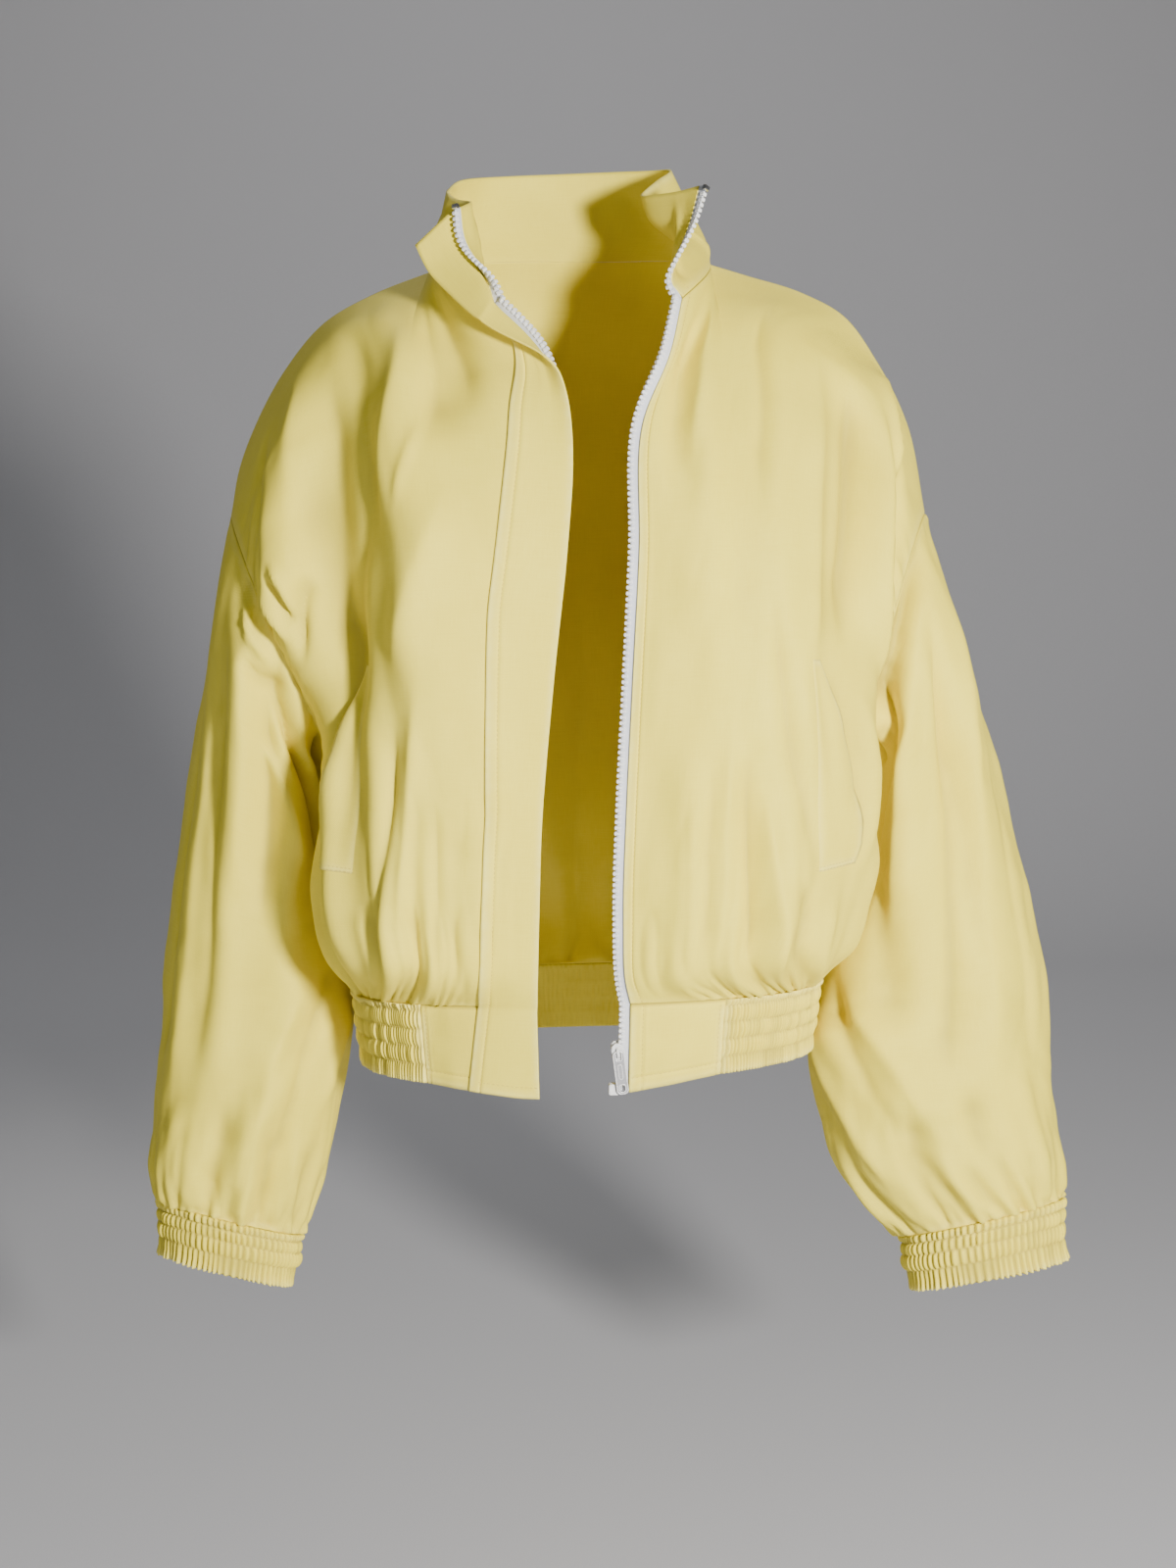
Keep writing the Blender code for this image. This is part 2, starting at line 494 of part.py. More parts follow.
def flatten_row(sheet, row, plane_point, plane_normal, lift):
    """Holds one end row of a sheet in a plane, so that the sheet beyond the seam lies flat against it."""
    normal = unit(np.array(plane_normal, float))
    points = sheet["grid"][row]
    away = (points - np.array(plane_point)) @ normal
    sheet["grid"][row] = points + normal * (lift - away)[:, None]
    turned = sheet["normal"][row]
    sheet["normal"][row] = unit(turned - (turned @ normal)[:, None] * normal)


def wall_faces(rows, columns, closed, offset, flip, points):
    """Two triangles a cell, cut along the shorter diagonal of the middle surface."""
    faces = []
    for i in range(rows - 1):
        for j in range(columns if closed else columns - 1):
            k = (j + 1) % columns
            a, b, c, d = i * columns + j, i * columns + k, (i + 1) * columns + k, (i + 1) * columns + j
            if np.linalg.norm(points[a] - points[c]) <= np.linalg.norm(points[b] - points[d]):
                pair = [(a, b, c), (a, c, d)]
            else:
                pair = [(a, b, d), (b, c, d)]
            faces += [tuple(offset + p for p in (f[::-1] if flip else f)) for f in pair]
    return faces


def border(rows, columns, closed):
    """Index loops round the free edges of a grid."""
    if closed:
        return [list(range(columns)), [(rows - 1) * columns + j for j in range(columns)][::-1]]
    top = list(range(columns))
    right = [i * columns + columns - 1 for i in range(1, rows)]
    bottom = [(rows - 1) * columns + j for j in range(columns - 2, -1, -1)]
    left = [i * columns for i in range(rows - 2, 0, -1)]
    return [top + right + bottom + left]


def wall(name, sheet, thick, raised=None):
    """A closed wall on both sides of a middle surface; raised adds height to its outer points."""
    grid, normal, closed = sheet["grid"], sheet["normal"], sheet["closed"]
    rows, columns = grid.shape[:2]
    high = np.zeros((rows, columns)) if raised is None else raised
    outer = (grid + normal * (thick / 2 + high)[..., None]).reshape(-1, 3)
    inner = (grid - normal * (thick / 2)).reshape(-1, 3)
    middle = grid.reshape(-1, 3)
    count = rows * columns
    faces = wall_faces(rows, columns, closed, 0, False, middle)
    if raised is None:
        faces += wall_faces(rows, columns, closed, count, True, middle)
        inside = np.arange(count)
    else:
        keep = np.concatenate([np.arange(columns), (rows - 1) * columns + np.arange(columns)])
        faces += wall_faces(2, columns, closed, count, True, middle[keep])
        inner = inner[keep]
        inside = np.full(count, -1)
        inside[keep] = np.arange(2 * columns)
    for loop in border(rows, columns, closed):
        if raised is not None and not closed:
            faces += end_faces(loop, rows, columns, count, inside)
            continue
        for a, b in zip(loop, loop[1:] + loop[:1]):
            faces += rim(a, b, count + inside[a], count + inside[b], middle)
    points = np.concatenate([outer, inner])
    return add_mesh(name, points, facing_out(points, faces))


def rim(a, b, inner_a, inner_b, middle):
    """Two triangles across the thickness; both sheets of a seam cut them along the same diagonal."""
    if (middle[a] - middle[b]) @ np.array([0.61, 1.0, 0.43]) > 0:
        return [(b, a, inner_a), (b, inner_a, inner_b)]
    return [(a, inner_a, inner_b), (a, inner_b, b)]


def end_faces(loop, rows, columns, count, inside):
    """Rims of an open ribbed wall: strips along its long edges, a fan across each short end."""
    faces = []
    for a, b in zip(loop, loop[1:] + loop[:1]):
        if inside[a] >= 0 and inside[b] >= 0 and abs(a - b) == 1:
            faces += [(b, a, count + inside[a]), (b, count + inside[a], count + inside[b])]
    for column, turned in ((0, False), (columns - 1, True)):
        line = [i * columns + column for i in range(rows)]
        low, high = count + inside[line[0]], count + inside[line[-1]]
        for k, (a, b) in enumerate(zip(line, line[1:])):
            corner = low if k < rows // 2 else high
            faces.append((a, b, corner) if not turned else (b, a, corner))
        middle = line[rows // 2]
        faces.append((middle, high, low) if not turned else (middle, low, high))
    return faces


def make_material(name, colour, rough, metallic):
    material = bpy.data.materials.new(name)
    material.use_nodes = True
    shader = material.node_tree.nodes["Principled BSDF"]
    shader.inputs["Base Color"].default_value = (*colour, 1)
    shader.inputs["Roughness"].default_value = rough
    shader.inputs["Metallic"].default_value = metallic
    return material


def look_of(name):
    """The material that a piece is made of, by its name."""
    for part, look in (("tape", "tape"), ("teeth", "plastic"), ("retainer", "plastic"), ("stop", "metal"),
                       ("zip", "enamel")):
        if part in name:
            return MATERIALS[look]
    return MATERIALS["cloth"]


def facing_out(points, faces):
    """The faces, turned round if they enclose a negative volume."""
    fans = [(face[0], face[k], face[k + 1]) for face in faces for k in range(1, len(face) - 1)]
    corners = np.asarray(points)[np.array(fans)]
    volume = np.einsum("ij,ij->", corners[:, 0], np.cross(corners[:, 1], corners[:, 2]))
    return [face[::-1] for face in faces] if volume < 0 else faces


def add_mesh(name, points, faces):
    mesh = bpy.data.meshes.new(name)
    mesh.from_pydata([tuple(p) for p in points], [], faces)
    mesh.materials.append(look_of(name))
    obj = bpy.data.objects.new(name, mesh)
    PARTS.objects.link(obj)
    return obj


def ribbed_band(name, angles, ribs, drops, profile):
    """A length of the waistband: its middle surface on the oval, its outer points raised in ribs."""
    grid = np.stack([waist(angles, drop) for drop in drops])
    lowered = grid - (0, 0, GAP / 2)
    level = np.stack([waist(angles, drop, 0.01) for drop in drops]) - grid
    level[..., 2] = waist_rise(level[..., 0], level[..., 1])
    sheet = dict(grid=lowered, normal=unit(level), closed=False)
    raised = profile[:, None] * ribs[None, :]
    return wall(name, sheet, BAND_WALL, raised)


def front_edge(side, sheets, inside):
    """Rows of the front edge from collar top to hem: points at distances inside the edge, and normals.

    Places run 0 at the collar top, 1 at the neck seam, 2 at the waist seam and 3 at the hem.
    """
    stand, front = sheets["collar"], sheets["front_" + side]
    order = -1 if side == "left" else 1
    lines = [(g[::order], n[::order]) for g, n in zip(stand["grid"], stand["normal"])]
    lines += list(zip(front["grid"], front["normal"]))[1:]
    places = list(np.linspace(0, 1, COLLAR_ROWS + 1)) + list(1 + panel_rows()[1:])
    turn = EDGE_ANGLE[side] + np.linspace(0, 0.7, 15) * (1 if side == "left" else -1)
    for k in (1, 2, 3):
        here, out = waist(turn, BAND_HEIGHT * k / 3), waist(turn, BAND_HEIGHT * k / 3, 0.01)
        level = (out - here) * (1, 1, 0)
        level[:, 2] = waist_rise(level[:, 0], level[:, 1])
        lines.append((here, unit(level)))
        places.append(2 + k / 3)
    points, normals = [], []
    distances = np.broadcast_to(inside, (len(lines), np.shape(inside)[-1]))
    for (grid, normal), distance in zip(lines, distances):
        length = np.concatenate([[0], np.cumsum(np.linalg.norm(np.diff(grid, axis=0), axis=1))])
        points.append(np.stack([np.interp(distance, length, grid[:, k]) for k in range(3)], -1))
        normals.append(unit(np.stack([np.interp(distance, length, normal[:, k]) for k in range(3)], -1)))
    return np.array(points), np.array(normals), np.array(places)


def bar(name, points, sideways, outward, wide, deep):
    """A bar of rectangular section along a line of points."""
    corners = [(-1, -1), (1, -1), (1, 1), (-1, 1)]
    grid = np.stack([points + sideways * wide * a + outward * deep * b for a, b in corners], axis=1)
    rows = len(points)
    faces = []
    for i in range(rows - 1):
        for j in range(4):
            k = (j + 1) % 4
            a, b, c, d = i * 4 + j, i * 4 + k, i * 4 + 4 + k, i * 4 + 4 + j
            faces += [(a, b, c), (a, c, d)]
    faces += [(0, 2, 1), (0, 3, 2)]
    end = (rows - 1) * 4
    faces += [(end, end + 1, end + 2), (end, end + 2, end + 3)]
    flat = grid.reshape(-1, 3)
    return add_mesh(name, flat, facing_out(flat, faces))


def prism(name, outline, frame, low, high):
    """An outline in a frame's first two axes, raised from low to high along its third."""
    origin, first, second, third = frame
    count = len(outline)
    base = [origin + first * a * MM + second * b * MM for a, b in outline]
    points = [p + third * low * MM for p in base] + [p + third * high * MM for p in base]
    faces = [tuple(range(count))[::-1], tuple(range(count, 2 * count))]
    faces += [(k, (k + 1) % count, count + (k + 1) % count, count + k) for k in range(count)]
    return add_mesh(name, points, facing_out(points, faces))


def rounded(wide, tall, radius, steps=4):
    """A rounded rectangle's outline, mm, centred, anticlockwise."""
    outline = []
    for quarter, (x, y) in enumerate([(1, 1), (-1, 1), (-1, -1), (1, -1)]):
        for k in range(steps + 1):
            angle = math.pi / 2 * (quarter + k / steps)
            outline.append((x * (wide / 2 - radius) + radius * math.cos(angle),
                            y * (tall / 2 - radius) + radius * math.sin(angle)))
    return outline


def frame_at(points, sideways, outward, index, share, lean):
    """Axes of a small hard piece on a chain: across towards the cloth, up along the chain, and out."""
    origin = points[index] * (1 - share) + points[index + 1] * share
    up = unit(points[index] - points[index + 1])
    out = unit(outward[index] - up * (outward[index] @ up))
    across = unit(np.cross(out, up))
    across = across * np.sign(across @ sideways[index])
    turned_up = unit(up * math.cos(lean) - across * math.sin(lean))
    turned = unit(across * math.cos(lean) + up * math.sin(lean))
    return origin, turned, turned_up, out


def moved(frame, first, second, third):
    """The same axes with the origin moved, mm."""
    origin, a, b, c = frame
    return origin + (a * first + b * second + c * third) * MM, a, b, c


def boolean(obj, tool, operation):
    """Joins or cuts with a tool that is kept out of the render."""
    for collection in list(tool.users_collection):
        collection.objects.unlink(tool)
    CUTTERS.objects.link(tool)
    tool.hide_render = True
    tool.display_type = "WIRE"
    modifier = obj.modifiers.new(operation.lower(), "BOOLEAN")
    modifier.operation = operation
    modifier.solver = "EXACT"
    modifier.object = tool


def zip_side(side, sheets):
    """Tape and tooth chain of one side, under the front edge; gives the chain's line and axes."""
    points, normals, places = front_edge(side, sheets, np.array([0.0, TAPE_UNDER]))
    edge, normal = points[:, 0], normals[:, 0]
    along = unit(np.gradient(edge, axis=0))
    inward = points[:, 1] - edge
    inward = unit(inward - (inward * along).sum(-1, keepdims=True) * along)
    normal = unit(np.cross(along, inward))
    normal = normal * np.sign((normal * normals[:, 0]).sum(-1, keepdims=True))
    walls = np.select([places <= 1, places < 1.97], [COLLAR_WALL, CLOTH], BAND_WALL)
    depth = (walls / 2 + GAP + TAPE_WALL / 2)[:, None]
    low = edge - normal * depth
    grid = np.stack([points[:, 1] - normals[:, 1] * depth, low,
                     low - inward * (ZIP_REACH - CHAIN_HALF - 3 * GAP)], axis=1)
    across = unit(grid[:, 2] - grid[:, 1])
    tape = dict(grid=grid, normal=unit(np.stack([normals[:, 1], normal, normal], axis=1)), closed=False)
    wall("zip_tape_" + side, tape, TAPE_WALL)
    chain = low - inward * ZIP_REACH
    chain[0] += (chain[1] - chain[0]) * 0.35
    chain[-1] += (chain[-2] - chain[-1]) * 0.30
    bar("zip_teeth_" + side, chain, across, normal, CHAIN_HALF, CHAIN_DEEP)
    top = frame_at(chain, -across, normal, 0, 0.0, 0.0)
    prism("zip_stop_" + side, rounded(3.2, 3.4, 0.8, 2), moved(top, -0.2, 2.2, 0), -2.0, 2.0)
    return chain, -across, normal


def flap(sheets):
    """The storm flap: from its root seam over the edge, past it, its free part turned by the table."""
    count = len(sheets["collar"]["grid"]) + len(sheets["front_right"]["grid"]) - 1 + 3
    rough = front_edge("right", sheets, np.zeros((count, 1)))[2]
    table = np.array(FLAP, float)
    root, over, turn, extra = [np.interp(rough, table[:, 0], table[:, k]) for k in (1, 2, 3, 4)]
    inside = np.stack([root, root * 0.55, root * 0.2, 0 * root], axis=1) * MM
    points, normals, places = front_edge("right", sheets, inside)
    walls = np.select([places <= 1, places < 1.97], [COLLAR_WALL, CLOTH], BAND_WALL)
    lift = (walls / 2 + GAP + FLAP_CLEAR + FLAP_WALL / 2 + extra * MM)[:, None, None]
    grid = points + normals * lift
    along = unit(np.gradient(points[:, 3], axis=0))
    outside = points[:, 3] - points[:, 2]
    outside = unit(outside - (outside * along).sum(-1, keepdims=True) * along)
    normal = unit(normals[:, 3] - (normals[:, 3] * outside).sum(-1, keepdims=True) * outside)
    tip, free = grid[:, 3], []
    for bend in (0.25, 0.65, 1.0, 1.0):
        angle = np.radians(turn * bend)[:, None]
        tip = tip + (outside * np.cos(angle) + normal * np.sin(angle)) * (over * MM / 4)[:, None]
        free.append(tip)
    grid = np.concatenate([grid, np.stack(free, axis=1)], axis=1)
    return dict(grid=grid, normal=-grid_normals(grid), closed=False)


def welt(side, sheets):
    """Pocket mouth strip: the front's own points, moved out."""
    front = sheets["front_" + side]
    rows = slice(ARM_CELLS - 3, ARM_CELLS + 3)
    grid, normal = front["grid"][rows], front["normal"][rows]
    at = NECK_CELLS + (np.array([0.62, 0.68, 0.74]) - ACROSS[1]) / (1 - ACROSS[1]) * SHOULDER_CELLS
    low = np.floor(at).astype(int)
    part = (at - low)[None, :, None]
    grid = grid[:, low] * (1 - part) + grid[:, low + 1] * part
    normal = unit(normal[:, low] * (1 - part) + normal[:, low + 1] * part)
    lift = CLOTH / 2 + GAP + FLAP_CLEAR + WELT_WALL / 2
    wall("pocket_welt_" + side, dict(grid=grid + normal * lift, normal=normal, closed=False), WELT_WALL)


def slider_and_pull(chain, across, normal):
    """The slider stays where the photo shows it; its pull tab swings on the bar under the bridge."""
    base = frame_at(chain, across, normal, len(chain) - 3, 0.62, math.radians(8))
    channel = [(-5.5, -3.4), (4.6, -3.4), (4.6, -2.3), (-4.2, -2.3), (-4.2, 2.3), (4.6, 2.3), (4.6, 3.4),
               (-5.5, 3.4)]
    origin, a, b, c = base
    slider = prism("zip_slider", channel, (origin, a, c, b), -6.5, 6.5)
    bridge = [(-4.5, 3.2), (-3.2, 3.2), (-3.2, 5.6), (3.2, 5.6), (3.2, 3.2), (4.5, 3.2), (4.5, 5.2),
              (3.4, 6.3), (-3.4, 6.3), (-4.5, 5.2)]
    boolean(slider, prism("zip_slider_bridge", bridge, (origin, b, c, a), -1.0, 1.0), "UNION")
    pin = moved(base, 0, 1.0, 4.25)
    outline = [(x, y - 15.25) for x, y in rounded(8.2, 31.5, 3.0, 4)]
    pull = prism("zip_pull", outline, pin, -0.6, 0.6)
    window = [(x, y - 3.3) for x, y in rounded(3.6, 5.6, 0.6, 2)]
    boolean(pull, prism("zip_pull_window", window, pin, -2, 2), "DIFFERENCE")
    hole = [(x, y - 26.6) for x, y in rounded(3.8, 4.8, 1.7, 4)]
    boolean(pull, prism("zip_pull_hole", hole, pin, -2, 2), "DIFFERENCE")
    for obj in (pull, bpy.data.objects["zip_pull_window"], bpy.data.objects["zip_pull_hole"]):
        obj.data.transform(Matrix.Translation(-Vector(pin[0])))
        obj.location = Vector(pin[0])
    foot = frame_at(chain, across, normal, len(chain) - 2, 1.0, 0.0)
    prism("zip_retainer", rounded(7.2, 8.0, 1.2, 3), moved(foot, -2.1, -4.4, 0), -2.6, 2.6)


def cuff(side, sleeves):
    """A shirred cuff: header, two channels and a ruffled edge raised on its outer side."""
    turn = np.arange(2 * CUFF_RIBS) / (2 * CUFF_RIBS)
    rows = np.stack([ring(row[:2], row[2:4], 2, row[4], turn, 2.0, CUFF_PITCH) for row in CUFF[side]])
    down = np.array([0.0, 0.16, 0.36, 0.52, 0.72, 0.84, 1.0])
    grid = spline((0, 0.5, 1), rows, down)
    outer, inner = np.array(CUFF[side][0][:2]), np.array(CUFF[side][0][2:4])
    fall = outer - inner
    plane = unit(np.cross((fall[0], 0, fall[1]), (0, 1, -CUFF_PITCH)) * np.sign(fall[0]))
    facing = 1 if side == "left" else -1
    sheet = dict(grid=grid, normal=grid_normals(grid, closed=True) * facing, closed=True)
    point = (outer[0] * MM, 2 * MM, outer[1] * MM)
    flatten_row(sleeves["sleeve_" + side], -1, point, plane, GAP / 2)
    flatten_row(sheet, 0, point, plane, -GAP / 2)
    high = RIB * np.array([0.9, 0.3, 1.0, 0.25, 1.0, 0.3, 1.25])
    wave = (np.arange(2 * CUFF_RIBS) % 2) * (0.75 + 0.25 * np.sin(np.arange(2 * CUFF_RIBS) * 1.7))
    wall("cuff_" + side, sheet, BAND_WALL, high[:, None] * wave[None, :])


def waistband():
    """Two plain ends and the shirred band that runs round the sides and back."""
    left, right = waist_angle(BAND_PLAIN[0]), waist_angle(BAND_PLAIN[1])
    half = GAP / 2 / BAND_HALF[0]
    drops = BAND_HEIGHT * np.array([0, 0.13, 0.27, 0.38, 0.52, 0.63, 0.77, 0.88, 1.0])
    plain = drops[::4]
    for side, start, end in (("left", EDGE_ANGLE["left"], left - half),
                             ("right", right + half, EDGE_ANGLE["right"])):
        angles = np.linspace(start, end, 7)
        ribbed_band("waistband_front_" + side, angles, np.zeros(7), plain, np.zeros(3))
    angles = np.linspace(left + half, 2 * math.pi + right - half, 2 * BAND_RIBS + 1)
    index = np.arange(2 * BAND_RIBS + 1)
    ribs = (index % 2) * (0.75 + 0.25 * np.sin(index * 1.3))
    profile = RIB * np.array([0.7, 1.0, 0.25, 1.0, 0.25, 1.0, 0.25, 1.0, 0.7])
    ribbed_band("waistband_back", angles, ribs, drops, profile)


def main():
    sheets = {"back": panel("back"), "collar": collar()}
    for side in ("left", "right"):
        sheets["front_" + side] = panel("front", side)
        sheets["sleeve_" + side] = sleeve(side)
    fit_seams(sheets)
    for name in ("back", "front_left", "front_right"):
        flatten_row(sheets[name], -1, (0, 0, WAIST_Z), (-WAIST_SLOPE[0], -WAIST_SLOPE[1], 1), GAP / 2)
    for side in ("left", "right"):
        cuff(side, sheets)
        welt(side, sheets)
    for name, sheet in sheets.items():
        wall(name, sheet, COLLAR_WALL if name == "collar" else CLOTH)
    waistband()
    wall("storm_flap", flap(sheets), FLAP_WALL)
    chain = zip_side("left", sheets)
    zip_side("right", sheets)
    slider_and_pull(*chain)


for leftover in list(bpy.data.objects):
    bpy.data.objects.remove(leftover, do_unlink=True)
PARTS, CUTTERS = [bpy.data.collections.new(name) for name in ("bomber_jacket", "cutters")]
for collection in (PARTS, CUTTERS):
    bpy.context.scene.collection.children.link(collection)
CUTTERS.hide_render = True
MATERIALS = {name: make_material(name, *look) for name, look in LOOKS.items()}
main()
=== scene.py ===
"""Looks of the bomber jacket: fine cloth shells, shirring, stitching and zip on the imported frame.

X points to the wearer's left, Y to the back, Z up, in metres. Tables hold millimetres.
"""

import json
import math

import bpy
import numpy as np
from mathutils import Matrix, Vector

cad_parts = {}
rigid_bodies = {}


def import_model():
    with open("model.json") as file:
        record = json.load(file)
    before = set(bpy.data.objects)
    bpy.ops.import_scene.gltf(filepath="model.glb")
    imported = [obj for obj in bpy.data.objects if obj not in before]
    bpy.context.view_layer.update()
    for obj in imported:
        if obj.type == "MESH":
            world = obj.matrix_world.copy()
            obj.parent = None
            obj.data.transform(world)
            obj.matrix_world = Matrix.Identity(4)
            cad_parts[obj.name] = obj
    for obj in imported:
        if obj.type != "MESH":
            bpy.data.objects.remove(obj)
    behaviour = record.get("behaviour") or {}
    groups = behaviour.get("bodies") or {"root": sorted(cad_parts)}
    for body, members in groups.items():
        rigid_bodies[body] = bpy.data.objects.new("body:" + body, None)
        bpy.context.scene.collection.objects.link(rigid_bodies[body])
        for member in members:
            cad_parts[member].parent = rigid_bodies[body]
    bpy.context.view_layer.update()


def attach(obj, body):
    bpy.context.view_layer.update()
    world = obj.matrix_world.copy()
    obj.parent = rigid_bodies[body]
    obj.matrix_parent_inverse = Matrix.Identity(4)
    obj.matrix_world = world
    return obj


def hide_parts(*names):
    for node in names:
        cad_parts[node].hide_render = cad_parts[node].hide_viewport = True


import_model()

MM = 0.001

# ---------------------------------------------------------------- sizes
CLOTH = 0.0011          # body cloth shell
COLLAR_WALL = 0.0020    # doubled collar cloth
BAND_WALL = 0.0018      # waistband and cuff cloth
FLAP_WALL = 0.0012
WELT_WALL = 0.0008
TAPE_WALL = 0.0008
CAD_COLLAR = 0.0022     # walls of the solids that a strip lies on
CAD_CLOTH = 0.0014
CAD_BAND = 0.0020
GAP = 0.0001            # between neighbouring shells at a seam
RIB = 0.0029            # height of the shirred ribs, before their unevenness
SEAM_DIP = 0.0009       # how far cloth rolls in at a seam
CREASE_HIGH = 1.15      # creases stand this many times as high as their tables say
TOOTH_PITCH = 0.0039    # from one zip tooth to the next
STITCH_PITCH = 0.0031   # from one stitch to the next
STITCH_GAUGE = 0.00024  # half the thread's thickness

HEM_STEPS = 36          # rows of the flap and tape down the waistband

# Cells of the fine grids: across the neck, along the shoulder, down the armhole, down the side.
NECK_CELLS = 40
BACK_NECK_CELLS = 28
SHOULDER_CELLS = 76
ARM_CELLS = 84
SIDE_CELLS = 48
SLEEVE_ROWS = 142
CUFF_END_ROWS = 35      # of them, those of the closer rows near the cuff
COLLAR_ROWS = 26
CUFF_RIBS = 72
CUFF_RIB_CELLS = 6
BAND_RIBS = 262
BAND_RIB_CELLS = 5
# Small pleats and puckers at seams: pitch along the seam, height, reach away from it.
WAIST_PLEAT = (0.0078, 3.8 * MM, 0.044)
ARM_PUCKER = (0.015, 3.4 * MM, 0.019)
CUFF_PLEATS = 38
SLEEVE_PUCKERS = 30
# Lines of stitching down the shirred pieces, as parts of their height.
CUFF_STITCHED = np.array([0.15, 0.38, 0.66])
BAND_STITCHED = np.array([0.08, 0.31, 0.54, 0.77])
HEM_STITCHED = 0.84     # the hem's line on the plain ends, as a part of their height
END_STITCHED = 0.004    # the line beside the shirring, from the plain end's edge
ZIP_STITCHED = 0.0078   # the line beside the zip on the left plain end
FLAP_WIDE = 38          # width of the storm flap on which its columns are set, mm
FLAP_STITCHED = 8       # its stitched line, from its root, mm
FLAP_FREE = 14          # steps across its free part

# Waist seam: a plane that drops to the back and rises to the wearer's left, and the waistband oval.
WAIST_Z = -0.514
WAIST_SLOPE = (0.025, -0.118)
BAND_HEIGHT = 0.050
BAND_TALLER = [(-0.17, 1.04), (-0.108, 1.12), (-0.039, 1.31), (0.036, 1.26), (0.101, 1.06), (0.17, 1.0)]
BAND_CENTRE = (0.006, -0.012)
BAND_HALF = (0.167, 0.128, 0.121)
BAND_TAPER = 0.0055
BAND_POWER = 2.4
BAND_PLAIN = (0.101, -0.108)
FRONT_X = {"left": 0.036, "right": -0.039}

ZIP_REACH = 0.0057      # from the front edge out to the chain
STITCH_COLUMN = 0.030   # across value of the line stitched beside the zip
TAPE_UNDER = 0.009      # how far the tape runs in under the cloth

# Zip frames: origin, across to the cloth, up the chain, out of the cloth.
SLIDER = (np.array((0.02714, -0.13517, -0.53086)), (0.98822, 0.07935, 0.13086), (-0.1231, -0.09592, 0.98775),
          (0.09093, -0.99222, -0.08502))
RETAINER = (np.array((0.02462, -0.13307, -0.55817)), (0.99538, 0.0957, -0.00752),
            (0.01561, -0.08404, 0.99634), (0.09472, -0.99186, -0.08514))

# Colours, linear: darker, lighter, paler at free edges, and the painted shade colour for hollows and seams.
COTTON = ((0.84, 0.69, 0.055), (0.95, 0.81, 0.095), (0.96, 0.86, 0.26), (0.42, 0.34, 0.045))
TAPE = ((0.58, 0.61, 0.67), (0.68, 0.70, 0.76), (0.74, 0.75, 0.78), (0.34, 0.36, 0.40))

# ---------------------------------------------------------------- form, as in the solids
NECK_FRONT = {
    "left": [(71, -76, -23), (80, -62, -15), (88, -42, -7), (92, -15, 0), (91, 12, 4)],
    "right": [(-56, -90, -27), (-76, -75, -20), (-96, -48, -10), (-103, -16, -4), (-105, 12, -2)],
}
NECK_BACK = {
    "left": [(-8, 74, 8), (25, 72, 8), (60, 60, 8), (84, 38, 7), (91, 12, 4)],
    "right": [(-8, 74, 8), (-42, 71, 8), (-75, 58, 6), (-98, 36, 2), (-105, 12, -2)],
}
SHOULDER = {
    "left": [(91, 12, 4), (118, 13, -4), (160, 14, -17), (188, 14, -32), (213, 12, -65),
             (234, 9, -107), (248, 5, -172)],
    "right": [(-105, 12, -2), (-144, 13, -17), (-181, 14, -38), (-209, 12, -71), (-229, 9, -107),
              (-242, 6, -141), (-248, 5, -173)],
}
ARMHOLE = {
    "left": dict(top=(248, 5, -172), under=(203, -8, -335), front=62, back=66, lean=(-11, -8)),
    "right": dict(top=(-248, 5, -173), under=(-175, -8, -340), front=62, back=66, lean=(3, 8)),
}
SIDE = {
    "left": [(203, -8, -335), (199, -8, -385), (195, -8, -440), (186, -10, -482)],
    "right": [(-175, -8, -340), (-171, -8, -385), (-173, -8, -440), (-171, -10, -484)],
}
# Knots across a half panel: edge 0, chest .3, crease .6, lobe .8, side 1; knots down it.
ACROSS = (0.0, 0.3, 0.6, 0.8, 1.0)
DOWN = (0.0, 0.09, 0.22, 0.38, 0.53, 0.68, 0.865, 0.94, 1.0)
UNDERARM = 0.68
FRONT_SECTIONS = {       # rows 1 to 7: edge, chest, crease, lobe
    "left": [
        ((63, -94, -58), (97, -52, -36), (158, -36, -44), (214, -26, -92)),
        ((43, -118, -109), (97, -106, -96), (157, -78, -100), (213, -56, -138)),
        ((41, -140, -188), (97, -143, -186), (152, -118, -188), (205, -84, -208)),
        ((37, -149, -270), (96, -154, -268), (152, -134, -270), (201, -86, -278)),
        ((33, -152, -356), (93, -156, -352), (152, -136, -348), (203, -82, -345)),
        ((31, -150, -440), (90, -156, -438), (146, -139, -436), (196, -84, -436)),
        ((32, -146, -476), (88, -151, -474), (140, -134, -472), (184, -78, -476)),
    ],
    "right": [
        ((-28, -106, -57), (-113, -54, -38), (-176, -36, -58), (-214, -28, -104)),
        ((-17, -121, -104), (-108, -106, -96), (-166, -74, -108), (-217, -58, -146)),
        ((-20, -140, -188), (-102, -142, -186), (-154, -104, -196), (-212, -88, -212)),
        ((-28, -149, -271), (-97, -152, -270), (-146, -118, -276), (-186, -80, -286)),
        ((-35, -152, -356), (-94, -156, -352), (-140, -132, -350), (-172, -80, -348)),
        ((-38, -150, -440), (-92, -156, -438), (-140, -138, -438), (-180, -78, -440)),
        ((-39, -146, -478), (-91, -151, -476), (-136, -134, -476), (-175, -72, -482)),
    ],
}
